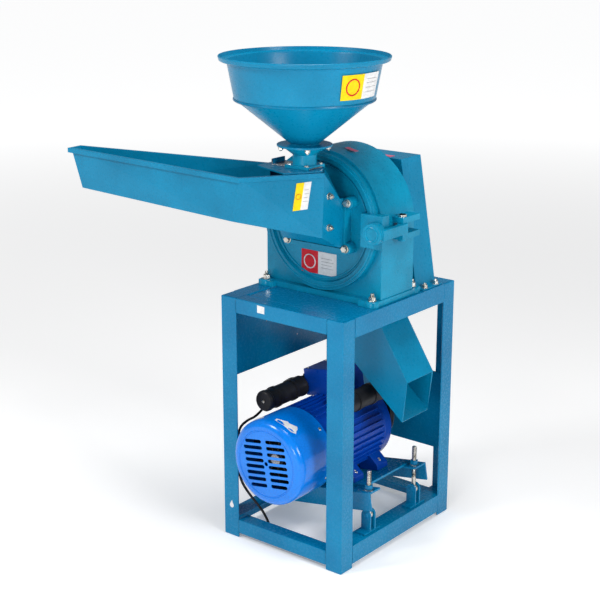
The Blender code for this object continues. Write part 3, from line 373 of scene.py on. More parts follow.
def bolt(name, at, direction, body, size=0.005, nut=True, thread=0.008, head=0.0, washer=True,
         finish="zinc"):
    """Washer, hexagon and thread end standing on a face."""
    works, height = [], head
    if washer:
        works.append(lathe_work([(0, 0), (size * 1.95, 0), (size * 2.05, 0.0003), (size * 2.05, 0.0012),
                                 (size * 1.9, 0.0015), (0, 0.0015)], (0, 0, 0), (0, 0, 1), 28))
        height += 0.0015
    tall = size * (1.6 if nut else 1.25)
    works.append(prism_work(hexagon(size * 1.72), height, height + tall))
    works.append(lathe_work([(0, height + tall - 0.0002), (size * 1.45, height + tall - 0.0002),
                             (size * 1.25, height + tall + 0.0006), (0, height + tall + 0.0006)], (0, 0, 0),
                            (0, 0, 1), 24))
    if thread:
        works.append(thread_work(size, height + tall, height + tall + thread))
    obj = piece(name, to_mesh(name, placed(merge(works), Matrix.Translation(Vector(at)) @ basis(direction))),
                finish, body)
    return rounded(obj, 0.0004, 1, 40)


def thread_work(radius, low, high):
    """Ridges of a thread, with a chamfered end."""
    pitch = max(0.0010, radius * 0.26)
    profile, height = [(0, low)], low
    while height < high - pitch:
        profile += [(radius, height + pitch * 0.1), (radius * 0.86, height + pitch * 0.6)]
        height += pitch
    profile += [(radius * 0.8, high), (0, high)]
    return lathe_work(profile, (0, 0, 0), (0, 0, 1), 20)


def label(name, corners, split, left, body, thickness=0.0003):
    """A two-colour sticker: a coloured part with a plain ring, and a white part with plain lines."""
    a, b, c, d = (Vector(p) for p in corners)
    normal = (b - a).cross(d - a).normalized()

    def at(u, v, lift=0.0):
        return (a * (1 - u) + b * u) * (1 - v) + (d * (1 - u) + c * u) * v + normal * lift

    def patch(part, u0, u1, material, lift=0.0):
        work = bmesh.new()
        steps = 8
        grid = [[work.verts.new(at(u0 + (u1 - u0) * i / steps, j, thickness + lift))
                 for i in range(steps + 1)] for j in (0, 1)]
        back = [[work.verts.new(at(u0 + (u1 - u0) * i / steps, j, lift)) for i in range(steps + 1)]
                for j in (0, 1)]
        for i in range(steps):
            work.faces.new([grid[0][i], grid[0][i + 1], grid[1][i + 1], grid[1][i]])
            work.faces.new([back[0][i], back[1][i], back[1][i + 1], back[0][i + 1]])
            for row in (0, 1):
                work.faces.new([grid[row][i], grid[row][i + 1], back[row][i + 1], back[row][i]])
        for i in (0, steps):
            work.faces.new([grid[0][i], grid[1][i], back[1][i], back[0][i]])
        return piece(f"{name}_{part}", to_mesh(name + part, work), material, body, 0)

    patch("colour", 0, split, left)
    patch("plain", split, 1, "white")
    width, height = (b - a).length * split, (d - a).length
    radius = 0.33 * min(width, height)
    ring = []
    for i in range(28):
        turn = 2 * pi * i / 28
        ring.append(at(split / 2 + radius * cos(turn) / (b - a).length, 0.5 + radius * sin(turn) / height,
                       thickness + 0.0002))
    ink = "red" if left == "yellow" else "white"
    tube(name + "_ring", ring, radius * 0.09, ink, body, True, 1)
    for i in range(4):
        v = 0.30 + 0.14 * i
        tube(f"{name}_line_{i}", [at(split + (1 - split) * 0.18, v, thickness + 0.0001),
                                  at(split + (1 - split) * (0.84 - 0.08 * (i % 2)), v, thickness + 0.0001)],
             0.0005, "grey", body, False, 1)


# ---------------------------------------------------------------- camera, light, floor

def studio():
    data = bpy.data.cameras.new("camera")
    data.lens, data.sensor_width = LENS, 36
    camera = bpy.data.objects.new("camera", data)
    camera.location = CAMERA_AT
    camera.rotation_euler = (radians(90 - CAMERA_EL), 0, radians(CAMERA_AZ))
    bpy.context.scene.collection.objects.link(camera)
    bpy.context.scene.camera = camera

    bpy.context.scene.view_settings.view_transform = "Standard"
    world = bpy.data.worlds.new("studio")
    world.use_nodes = True
    world.node_tree.nodes["Background"].inputs["Color"].default_value = (0.93, 0.94, 0.96, 1)
    world.node_tree.nodes["Background"].inputs["Strength"].default_value = 0.22
    bpy.context.scene.world = world
    for name, at, aim, size, power in (("key", (-1.3, -2.4, 2.6), (0, 0, 0.5), 0.8, 50),
                                       ("side", (2.7, -0.6, 1.6), (0, 0, 0.5), 0.9, 40),
                                       ("top", (0.3, -0.3, 3.0), (0, 0, 0.5), 1.0, 38),
                                       ("low", (0.8, -2.6, 0.7), (0, 0, 0.3), 0.6, 12)):
        light = bpy.data.lights.new(name, "AREA")
        light.size, light.energy = size, power
        lamp = bpy.data.objects.new(name, light)
        lamp.location = at
        lamp.rotation_euler = (Vector(aim) - Vector(at)).to_track_quat("-Z", "Y").to_euler()
        bpy.context.scene.collection.objects.link(lamp)

    material, tree, shader = new_material("floor")
    shader.inputs["Roughness"].default_value = 0.9
    shader.inputs["Base Color"].default_value = (0.93, 0.93, 0.93, 1)
    shader.inputs["Emission Color"].default_value = (1, 1, 1, 1)
    # The floor glows less near the part and more far out: painted shade on the floor round the part.
    far = ramp(tree, distance_from_part(tree), [(0.10, 0.22), (0.55, 0.78)])
    tree.links.new(far, shader.inputs["Emission Strength"])
    floor = bpy.data.objects.new("floor", to_mesh("floor", floor_work()))
    bpy.context.scene.collection.objects.link(floor)
    floor.data.materials.append(material)


def distance_from_part(tree):
    """0 under the part, 1 from ten metres out."""
    coords = tree.nodes.new("ShaderNodeTexCoord")
    length = tree.nodes.new("ShaderNodeVectorMath")
    length.operation = "LENGTH"
    share = tree.nodes.new("ShaderNodeMath")
    share.operation, share.use_clamp = "MULTIPLY", True
    share.inputs[1].default_value = 0.1
    tree.links.new(coords.outputs["Object"], length.inputs[0])
    tree.links.new(length.outputs["Value"], share.inputs[0])
    return share.outputs[0]


def floor_work():
    work = bmesh.new()
    bmesh.ops.create_grid(work, x_segments=2, y_segments=2, size=40)
    bmesh.ops.translate(work, vec=(0, 0, -0.0004), verts=work.verts)
    return work


# ---------------------------------------------------------------- mains lead

def smooth(points, spacing):
    ends = [2 * Vector(points[0]) - Vector(points[1])], [2 * Vector(points[-1]) - Vector(points[-2])]
    p = ends[0] + [Vector(q) for q in points] + ends[1]
    out = []
    for a, b, c, d in zip(p, p[1:], p[2:], p[3:]):
        steps = max(1, round((c - b).length / spacing))
        for i in range(steps):
            t = i / steps
            out.append(0.5 * (2 * b + (c - a) * t + (2 * a - 5 * b + 4 * c - d) * t * t
                              + (3 * b - a - 3 * c + d) * t ** 3))
    return out + [Vector(points[-1])]


def hank():
    """A flat hank of ovals: an outer turn, an inner turn, one more a level up, then out over the top."""
    half = HANK_R + 1.5 * CORD_D
    left, right = HANK_X + half, HANK_X + half + HANK_RUN
    inner, outer = HANK_R, HANK_R + TURN_PITCH
    low, high = 0.0032, 0.0032 + TURN_PITCH

    def bend(x, start, radii, levels):
        """Half a turn round an end; the radii and levels are its start, middle and end."""
        return [(x + lerp3(radii, i / 12) * cos(radians(start + 15 * i)),
                 HANK_Y + lerp3(radii, i / 12) * sin(radians(start + 15 * i)), lerp3(levels, i / 12))
                for i in range(13)]

    def run(a, b, side, r0, r1, z):
        return [(a + (b - a) * i / 6, HANK_Y + side * (r0 + (r1 - r0) * i / 6), z) for i in range(1, 6)]

    lane = (outer,) * 3, (inner,) * 3
    points = []
    for radii, level, swing, climb in (
            (outer, low, (outer, outer, inner), (low,) * 3), (inner, low, lane[1], (low, high, high)),
            (inner, high, lane[0], (high,) * 3)):
        points += run(left, right, -1, radii, radii, level)
        points += bend(right, -90, (radii,) * 3, (level,) * 3)
        points += run(right, left, 1, radii, outer if level == high else radii, level)
        points += bend(left, 90, swing, climb)
    top = high + TURN_PITCH
    return points + [(left + 0.008, HANK_Y - outer, high), (left + 0.020, HANK_Y - outer + 0.0006,
            high + 0.0006), (left + 0.035, HANK_Y - outer + 0.003, high + 0.0030),
                     (left + 0.050, HANK_Y - 0.0150, top), (left + 0.066, HANK_Y - 0.0085, top + 0.0003),
                     (left + 0.082, HANK_Y - 0.0030, top + 0.0003), (right + 0.013, HANK_Y - 0.0004, top),
                     (right + half + 0.0030, HANK_Y, top)]


def lerp3(values, share):
    """Eases from the first value to the middle one over the first half, then on to the last."""
    a, b = (values[0], values[1]) if share < 0.5 else (values[1], values[2])
    t = (share * 2) % 1 if share < 1 else 1
    return a + (b - a) * t * t * (3 - 2 * t)


def mains_lead():
    path = smooth(ROUTE + hank(), 0.006)
    length = sum((b - a).length for a, b in zip(path, path[1:]))
    lead = tube("mains_lead", path, CORD_D / 2, "rubber", "stand", resolution=4)
    lead = as_mesh(lead)
    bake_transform(lead)
    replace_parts(lead, "mains_cord", "cord_hank")
    return lead, path, length


def as_mesh(obj):
    """The same piece as a mesh, on no body yet."""
    graph = bpy.context.evaluated_depsgraph_get()
    mesh = bpy.data.meshes.new_from_object(obj.evaluated_get(graph))
    made = bpy.data.objects.new(obj.name + "_mesh", mesh)
    material = obj.data.materials[0]
    bpy.data.objects.remove(obj, do_unlink=True)
    bpy.context.scene.collection.objects.link(made)
    mesh.materials.clear()
    mesh.materials.append(material)
    mesh.polygons.foreach_set("use_smooth", [True] * len(mesh.polygons))
    return made


def plug_and_gland(path):
    low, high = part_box("mains_plug")
    back, front = low[0], low[0] + 0.037
    y, z = (low[1] + high[1]) / 2, (low[2] + high[2]) / 2
    body = piece("plug_body", to_mesh("plug_body", box_work((back + 0.008, y - 0.013, low[2]),
                                                            (front, y + 0.013, high[2]))), "black", "stand")
    rounded(body, 0.004, 3)
    top = path[-1].z
    relief = lathe("plug_relief", [(0, 0), (0.0034, 0), (0.0036, 0.003), (0.0036, 0.009), (0, 0.009)],
                   (back, y, top), (1, 0, -0.25), "black", "stand", 24)
    pins = piece("plug_pins", to_mesh("plug_pins", merge([
        lathe_work([(0, 0), (0.0023, 0), (0.0023, 0.016), (0.0017, high[0] - front), (0, high[0] - front)],
                   (front, y + side * 0.0095, z), (1, 0, 0), 20) for side in (-1, 1)])), "steel", "stand")
    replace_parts(body, "mains_plug")
    tie = tube("hank_tie", [(0.022, HANK_Y + dy, dz) for dy, dz in ((-0.0258, 0.0030), (-0.0262, 0.0075),
            (-0.0250, 0.0118), (-0.0170, 0.0186), (-0.0120, 0.0188), (-0.0040, 0.0158), (0.0040, 0.0130),
            (0.0250, 0.0122), (0.0262, 0.0075), (0.0258, 0.0030), (0.0240, 0.0010), (-0.0240, 0.0010))],
               0.0008, "black", "stand", True, 2)
    exit_at = Vector(ROUTE[0])
    aim = Vector(ROUTE[1]) - exit_at
    lathe("gland_relief", [(0, -0.030), (0.0052, -0.030), (0.0050, -0.022)]
          + [(0.0048 - 0.00035 * (i % 2) - 0.0010 * i / 10, -0.020 + 0.002 * i) for i in range(11)]
          + [(0, 0.0005)], exit_at, aim, "rubber", "motor", 24)
    nut = piece("gland_nut", to_mesh("gland_nut", placed(prism_work(hexagon(0.0095), -0.032, -0.023),
            Matrix.Translation(exit_at) @ basis(aim))), "black", "motor", 0)
    rounded(nut, 0.0008)
    material_of("cord_gland", "black")


def material_of(node, material):
    """Gives a CAD node kept as it is its finish."""
    mesh = NODES[node].data
    mesh.materials.clear()
    mesh.materials.append(M[material])


# ---------------------------------------------------------------- stand

def tilted(u, v, y=0.0):
    """A point of the sloping motor plate: u along it from the pivot, v square to it."""
    return Vector((PIVOT.x + u * cos(TILT) - v * sin(TILT), y, PIVOT.z + u * sin(TILT) + v * cos(TILT)))


def stand():
    for end in ("front", "rear"):
        for side in ("left", "right"):
            soften(f"leg_{end}_{side}", 0.0022, "gloss", "stand", 3)
    for rail in ("front", "rear", "left", "right"):
        for level in ("top", "bottom"):
            soften(f"{level}_rail_{rail}", 0.0018, "gloss", "stand", 2)
    for node, width in (("top_plate", 0.001), ("side_skirt", 0.0006), ("rear_panel", 0.0006)):
        soften(node, width, "gloss", "stand")
    welds()
    stand_stickers()


def bead(name, a, b, radius=0.0022, body="stand"):
    """A weld: overlapping ripples along a line."""
    a, b = Vector(a), Vector(b)
    count = max(3, int((b - a).length / (radius * 0.9)))
    profile = []
    for i in range(count + 1):
        for share, swell in ((0.0, 0.86), (0.5, 1.0)):
            height = (i + share) / (count + 1) * (b - a).length
            ends = min(1.0, (i + share + 0.4) / 2, (count + 1.4 - i - share) / 2)
            profile.append((radius * swell * ends, height))
    return lathe(name, [(0, 0)] + profile + [(0, (b - a).length)], a, b - a, "weld", body, 12)


def welds():
    """Beads where the rails meet the legs, on the faces that show."""
    count = 0
    for level in ("top", "bottom"):
        for side, sign in (("left", -1), ("right", 1)):
            low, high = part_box(f"{level}_rail_front")
            edge = low[0] if side == "left" else high[0]
            inset = 0.0006
            bead(f"weld_{count}", (edge + sign * inset, low[1] + 0.0016, low[2] + 0.003),
                 (edge + sign * inset, low[1] + 0.0016, high[2] - 0.003), 0.0020)
            count += 1
            low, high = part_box(f"{level}_rail_{side}")
            face = high[0] if side == "right" else low[0]
            for y in (low[1], high[1]):
                bead(f"weld_{count}", (face - sign * 0.0022, y, low[2] + 0.003), (face - sign * 0.0022, y,
                        high[2] - 0.004))
                count += 1
    low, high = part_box("bottom_rail_right")
    for y in (low[1], high[1]):
        bead(f"weld_{count}", (high[0] - 0.003, y, high[2] - 0.001), (low[0] + 0.003, y, high[2] - 0.001),
             0.0018)
        count += 1


def flat_patch(name, outline, at, across, up, material, body, thickness=0.0003):
    """A thin flat sticker: an outline in (across, up) metres about a point."""
    across, up = Vector(across).normalized(), Vector(up).normalized()
    turn = Matrix((across, up, across.cross(up))).transposed().to_4x4()
    return piece(name, to_mesh(name, placed(prism_work(outline, 0.00005, thickness),
                                            Matrix.Translation(Vector(at)) @ turn)), material, body, 0)


def stand_stickers():
    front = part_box("top_rail_front")
    flat_patch("rail_sticker", [(0, 0), (0.019, 0), (0.019, 0.015), (0, 0.016)],
               (-0.060, front[0][1], 0.520), (1, 0, 0), (0, 0, 1), "white", "stand")
    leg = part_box("leg_front_left")
    drop = [(0.0055 * cos(radians(t)), 0.0055 * sin(radians(t))) for t in range(150, 391,
            24)] + [(0.0005, 0.0125)]
    flat_patch("leg_sticker", drop, (-0.137, leg[0][1], 0.071), (1, 0, 0), (0, 0, 1), "white", "stand")
    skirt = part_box("side_skirt")
    for i, (y, z) in enumerate(((-0.060, 0.452), (0.045, 0.395))):
        flat_patch(f"skirt_speck_{i}", arc(0, 0, 0.0016, 0, 324, 9), (skirt[1][0], y, z), (0, 1, 0),
                   (0, 0, 1), "white", "stand")


# ---------------------------------------------------------------- mill

def mill():
    soften("mill_housing", 0.0035, "hammer", "stand", 3, 40)
    for node in ("bearing_front", "bearing_rear"):
        material_of(node, "iron")
    material_of("hinge_pin", "zinc")
    soften("mill_door", 0.0022, "hammer", "door", 3, 40)
    soften("hinge_arm", 0.0024, "hammer", "door", 3, 40)
    door_details()
    hinge_details()
    clamp()
    for x in (-0.138, 0.138):
        for y in (-0.076, 0.066):
            lathe(f"foot_pad_{'left' if x < 0 else 'right'}_{'front' if y < 0 else 'rear'}",
                  [(0, 0), (0.0150, 0), (0.0152, 0.0090), (0.0138, 0.0118), (0.0110, 0.0124), (0, 0.0124)],
                  (x, y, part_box("mill_housing")[0][2]), (0, 0, 1), "hammer", "stand", 40)
            bolt(f"foot_bolt_{'left' if x < 0 else 'right'}_{'front' if y < 0 else 'rear'}",
                 (x, y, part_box("mill_housing")[0][2] + 0.0123), (0, 0, 1), "stand", 0.0045, True, 0.007)


def ring_band(inner, outer, low, high, soft=0.0012):
    """A ring's section with softened front edges, as (radius, height)."""
    return [(inner, low), (inner, high - soft), (inner + soft * 0.3, high - soft * 0.3),
            (inner + soft, high), (outer - soft, high), (outer - soft * 0.3, high - soft * 0.3),
            (outer, high - soft), (outer, low)]


def door_details():
    lathe("door_rim_bead", ring_band(0.1335, 0.1385, 0, 0.0022), (MILL.x, DOOR_FRONT + 0.0004, MILL.z),
          (0, -1, 0), "hammer", "door", 96)
    lathe("door_inner_ring", ring_band(0.1165, 0.1205, 0, 0.0028), (MILL.x, -0.0671, MILL.z), (0, -1, 0),
          "hammer", "door", 96)
    corners = [(-0.070, 0.651), (0.078, 0.653), (0.082, 0.747), (-0.076, 0.745)]
    for i, (x, z) in enumerate(corners):
        bolt(f"inlet_bolt_{i}", (x, -0.0880, z), (0, -1, 0), "door", 0.0042, False, 0.0)
        lathe(f"inlet_boss_{i}", [(0, 0), (0.0128, 0), (0.0118, 0.0190), (0.0106, 0.0205), (0, 0.0205)],
              (x, DOOR_FACE, z), (0, -1, 0), "hammer", "door", 32)
    label("door_label", [(-0.050, DOOR_FACE, 0.583), (0.041, DOOR_FACE, 0.583), (0.041, DOOR_FACE, 0.631),
                         (-0.050, DOOR_FACE, 0.631)], 0.48, "red", "door")


def hinge_details():
    boss_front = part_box("hinge_arm")[0][1]
    lathe("hinge_boss_step", [(0, -0.001), (0.0218, -0.001), (0.0215, 0.0016), (0.0205, 0.0024),
                              (0, 0.0024)], (BOSS_X, boss_front, MILL.z), (0, -1, 0), "hammer", "door", 48)
    lathe("hinge_boss_ring", [(0.0122, 0.0018), (0.0126, 0.0036), (0.0140, 0.0044), (0.0155, 0.0036),
                              (0.0160, 0.0018)], (BOSS_X, boss_front, MILL.z), (0, -1, 0), "hammer",
          "door", 40)
    low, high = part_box("hinge_pin")
    for name, z, direction in (("top", high[2], -1), ("bottom", low[2], 1)):
        nut = piece(f"hinge_nut_{name}", to_mesh(f"hinge_nut_{name}", placed(
            prism_work(hexagon(0.0088), 0, 0.0075), Matrix.Translation((HINGE.x, HINGE.y, z)) @ basis(
                (0, 0, direction)))), "hammer", "stand", 0)
        rounded(nut, 0.0007, 2)


def clamp():
    """Hand knob with six lobes on its stud."""
    low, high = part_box("clamp_knob")
    x, z = (low[0] + high[0]) / 2, (low[2] + high[2]) / 2
    radius = (high[0] - low[0]) / 2
    lobes = [((radius - 0.0016 + 0.0016 * cos(6 * radians(t))) * cos(radians(t)),
              (radius - 0.0016 + 0.0016 * cos(6 * radians(t))) * sin(radians(t))) for t in range(0, 360, 6)]
    knob = piece("clamp_star", to_mesh("clamp_star", placed(prism_work(lobes, 0, 0.0165), Matrix.Translation(
        (x, low[1] + 0.018, z)) @ basis((0, -1, 0)))), "black", "clamp", 30)
    rounded(knob, 0.0022, 3)
    lathe("clamp_stud", [(0, 0), (0.0048, 0), (0.0048, 0.040), (0, 0.040)],
          (x, high[1], z), (0, -1, 0), "zinc", "clamp", 24)
    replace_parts(knob, "clamp_knob")


# ---------------------------------------------------------------- feed

def feed():
    tray = soften("feed_tray", 0.0005, "sheet", "door", 1, 35)
    tray.data.set_sharp_from_angle(angle=radians(6))
    soften("box_lid", 0.0008, "sheet", "door")
    low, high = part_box("gate_plate")
    soften("gate_plate", 0.0004, "steel", "gate", 1)
    grip = piece("gate_tab_paint", to_mesh("gate_tab_paint", box_work((low[0] - 0.0002, low[1] + 0.002,
            high[2] - 0.0100), (low[0] + 0.0024, high[1] - 0.002, high[2] + 0.0002))), "gloss", "gate")
    rounded(grip, 0.0006)
    neck()
    funnel()
    for i, z in enumerate((0.768, 0.705)):
        bolt(f"spout_bolt_{i}", (0.0722, -0.1355, z), (1, 0, 0), "door", 0.0036, True, 0.004)
    wall_label()


def neck():
    low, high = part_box("hopper_neck")
    x, y = (low[0] + high[0]) / 2, (low[1] + high[1]) / 2
    soften("hopper_neck", 0.0009, "hammer", "door", 2, 35)
    for i, (dx, dy) in enumerate(((-0.022, -0.022), (0.022, -0.022), (-0.022, 0.022), (0.022, 0.022))):
        bolt(f"neck_bolt_{i}", (x + dx, y + dy, low[2] + 0.003), (0, 0, 1), "door", 0.0028, False, 0.0)
    for i in range(4):
        turn = radians(45 + 90 * i)
        bolt(f"funnel_bolt_{i}", (x + 0.047 * cos(turn), y + 0.047 * sin(turn), high[2]), (0, 0, -1), "door",
             0.0030, True, 0.003)


def funnel():
    low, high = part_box("hopper_funnel")
    x, y, z = (low[0] + high[0]) / 2, (low[1] + high[1]) / 2, low[2]
    wall, cone_h, band_h = 0.002, 0.092, 0.072
    cone_r, band_r, rim_r = 0.1375, 0.1515, 0.166
    total = high[2] - z
    bore = 0.0215
    outside = [(bore, 0), (0.0540, 0), (0.0550, 0.0010), (0.0550, 0.0034), (0.0542, 0.0040),
               (0.0300, 0.0042), (0.0290, 0.0052), (cone_r - 0.0035, cone_h - 0.0012),
               (cone_r, cone_h + 0.001), (cone_r + 0.0006, cone_h + 0.004),
               (band_r - 0.001, cone_h + band_h - 0.002)]
    rim = [(band_r, cone_h + band_h), (rim_r - 0.003, cone_h + band_h + 0.002),
           (rim_r - 0.0002, cone_h + band_h + 0.0035), (rim_r + 0.0016, total - 0.0026),
           (rim_r + 0.0016, total - 0.0012), (rim_r + 0.0006, total), (rim_r - 0.0012, total)]
    inside = [(rim_r - 0.0028, cone_h + band_h + 0.0052), (band_r - 0.0008, cone_h + band_h + 0.0030),
              (band_r - wall, cone_h + band_h - 0.001), (cone_r - wall + 0.0004, cone_h + 0.004),
              (cone_r - wall - 0.004, cone_h), (0.0262, 0.0070), (bore, 0.0040)]
    made = lathe("funnel_sheet", outside + rim + inside, (x, y, z), (0, 0, 1), "sheet", "door", 144)
    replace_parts(made, "hopper_funnel")
    lathe("funnel_seam", [(cone_r - 0.0010, cone_h - 0.0030), (cone_r + 0.0010, cone_h - 0.0018),
                          (cone_r + 0.0022, cone_h), (cone_r + 0.0016, cone_h + 0.0024),
                          (cone_r, cone_h + 0.0034)], (x, y, z), (0, 0, 1), "weld", "door", 144)
    band_label(x, y, z + cone_h, cone_r, band_r, band_h)


def band_label(x, y, z, r0, r1, height):
    """A two-colour label wrapped on the funnel's band."""
    start, split, end = radians(-24), radians(-3.5), radians(17)
    low, high = 0.17, 0.83

    def at(angle, share, lift):
        radius = r0 + (r1 - r0) * share + 0.0012 + lift
        return (x + radius * cos(angle), y + radius * sin(angle), z + height * share)

    for name, a, b, material in (("colour", start, split, "yellow"), ("plain", split, end, "white")):
        work = bmesh.new()
        steps = 10
        rows = [[work.verts.new(at(a + (b - a) * i / steps, share, lift)) for i in range(steps + 1)]
                for share, lift in ((low, 0), (high, 0), (high, 0.0004), (low, 0.0004))]
        for p, q in zip(rows, rows[1:] + rows[:1]):
            for i in range(steps):
                work.faces.new([p[i], p[i + 1], q[i + 1], q[i]])
        work.faces.new([row[0] for row in rows])
        work.faces.new([row[-1] for row in reversed(rows)])
        piece(f"band_label_{name}", to_mesh(f"band_label_{name}", work), material, "door", 0)
    middle = (start + split) / 2
    ring = [at(middle + 0.105 * cos(radians(t)), 0.50 + 0.21 * sin(radians(t)),
               0.0008) for t in range(0, 360, 12)]
    tube("band_label_ring", ring, 0.0013, "red", "door", True, 1)
    for i, share in enumerate((0.34, 0.46, 0.58, 0.68)):
        stripe = [at(split + (end - split) * (0.16 + 0.66 * j / 6), share, 0.0006) for j in range(7)]
        tube(f"band_label_line_{i}", stripe, 0.0005, "grey", "door", False, 1)


def wall_label():
    """A two-colour label on the diagonal wall between the tray's fold and the spout."""
    fold, spout = Vector((-0.022, -0.293, 0)), Vector((0.072, -0.152, 0))
    along = (spout - fold).normalized()
    out = Vector((along.y, -along.x, 0))
    work = bmesh.new()
    work.from_mesh(NODES["feed_tray"].data)
    sheet = BVHTree.FromBMesh(work)
    work.free()

    def at(share, z):
        start = fold + (spout - fold) * share + out * 0.06 + Vector((0, 0, z))
        spot = sheet.ray_cast(start, -out)[0]
        return spot + out * 0.0008

    label("wall_label", [at(0.62, 0.746), at(0.80, 0.748), at(0.85, 0.802), at(0.67, 0.800)], 0.52,
          "yellow", "door")


# ---------------------------------------------------------------- discharge

def chute():
    soften("discharge_chute", 0.0007, "sheet", "stand", 2, 35)


# ---------------------------------------------------------------- drive

def drive():
    soften("belt_guard", 0.0016, "sheet", "stand", 3, 35)
    foot_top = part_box("belt_guard")[0][2] + 0.0022
    for y in (0.100, 0.141):
        for side, x in (("right", 0.1475), ("left", -0.1475)):
            bolt(f"guard_bolt_{side}_{round(y * 1000)}", (x, y, foot_top), (0, 0, 1), "stand", 0.0036,
                 True, 0.004)
    for node, body in (("mill_pulley", "rotor"), ("motor_pulley", "motor_rotor")):
        soften(node, 0.0006, "iron", body, 2, 30)
    belt()


def belt():
    low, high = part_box("v_belt")
    y = (low[1] + high[1]) / 2
    top, bottom = Vector((MILL.x, 0, MILL.z)), Vector((MOTOR.x, 0, MOTOR.z))
    outer, thick, half = (MILL_PULLEY_R + BELT_PROUD, MOTOR_PULLEY_R + BELT_PROUD), BELT_T, 0.0065
    line = top - bottom
    lean = atan2(line.x, line.z)
    gap = line.length
    spread = asin((outer[1] - outer[0]) / gap)
    paths = []
    for inset in (0.0, thick):
        r_top, r_bottom = outer[0] - inset, outer[1] - inset
        pts = []
        for i in range(25):
            t = -spread + (pi + 2 * spread) * i / 24
            pts.append((top.x + r_top * cos(t) * cos(lean) + r_top * sin(t) * sin(lean),
                        top.z - r_top * cos(t) * sin(lean) + r_top * sin(t) * cos(lean)))
        lower = []
        for i in range(25):
            t = pi + spread + (pi - 2 * spread) * i / 24
            lower.append((bottom.x + r_bottom * cos(t) * cos(lean) + r_bottom * sin(t) * sin(lean),
                          bottom.z - r_bottom * cos(t) * sin(lean) + r_bottom * sin(t) * cos(lean)))
        sides = []
        for a, b in ((pts[-1], lower[0]), (lower[-1], pts[0])):
            sides.append([(a[0] + (b[0] - a[0]) * i / 24, a[1] + (b[1] - a[1]) * i / 24)
                          for i in range(1, 24)])
        paths.append(pts + sides[0] + lower + sides[1])
    work = bmesh.new()
    loops = []
    for path_points, width in ((paths[0], half), (paths[1], half * 0.66)):
        for side in (-1, 1):
            loops.append([work.verts.new((px, y + side * width, pz)) for px, pz in path_points])
    count = len(loops[0])
    for p, q in ((0, 1), (1, 3), (3, 2), (2, 0)):
        for i in range(count):
            j = (i + 1) % count
            work.faces.new([loops[p][i], loops[p][j], loops[q][j], loops[q][i]])
    mesh = to_mesh("belt_loop", work)
    obj = bpy.data.objects.new("belt_loop", mesh)
    bpy.context.scene.collection.objects.link(obj)
    mesh.materials.append(M["rubber"])
    mesh.set_sharp_from_angle(angle=radians(30))
    mesh.polygons.foreach_set("use_smooth", [True] * len(mesh.polygons))
    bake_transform(obj)
    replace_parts(obj, "v_belt")


# ---------------------------------------------------------------- motor

def plate_space():
    """Space at the motor's axis: X along the sloping plate, Y along the shaft, Z up from the plate."""
    return Matrix.Translation(Vector((MOTOR.x, 0, MOTOR.z))) @ Matrix.Rotation(-TILT, 4, "Y")


def motor():
    soften("motor_plate", 0.0012, "gloss", "motor", 2)
    # The barrel, end shield and terminal box take the darker copy of the motor's blue: painted shade.
    soften("motor_body", 0.0016, "blue_painted_shade", "motor", 2, 35)
    soften("motor_rear_shield", 0.0016, "blue_painted_shade", "motor", 2, 35)
    soften("terminal_box", 0.0030, "blue_painted_shade", "motor", 3, 35)
    material_of("motor_shaft", "steel")
    fins()
    fan_cover()
    fan()
    electrics()
    mountings()


def fins():
    """Long ribs round the barrel, short of the feet and the box."""
    front, back = -0.122, 0.060
    works = []
    for i in range(40):
        angle = 360 * i / 40
        under = abs(((angle - 270 + 180) % 360) - 180) < 40
        box_side = abs(((angle - 90 + 180) % 360) - 180) < 32
        caps = any(abs(((angle - a + 180) % 360) - 180) < 9 for a in (120, 43))
        if under or caps:
            continue
        y0, y1 = (front, -0.026) if box_side else (front, back)
        rib = box_work((-0.00095, y0, 0.0835), (0.00095, y1, 0.0915))
        works.append(placed(rib, plate_space() @ Matrix.Rotation(-radians(angle - 90), 4, "Y")))
    # The fins take the darker copy of the motor's blue: painted shade.
    ribs = piece("barrel_fins", to_mesh("barrel_fins", merge(works)), "blue_painted_shade", "motor", 30)
    rounded(ribs, 0.0005, 2)


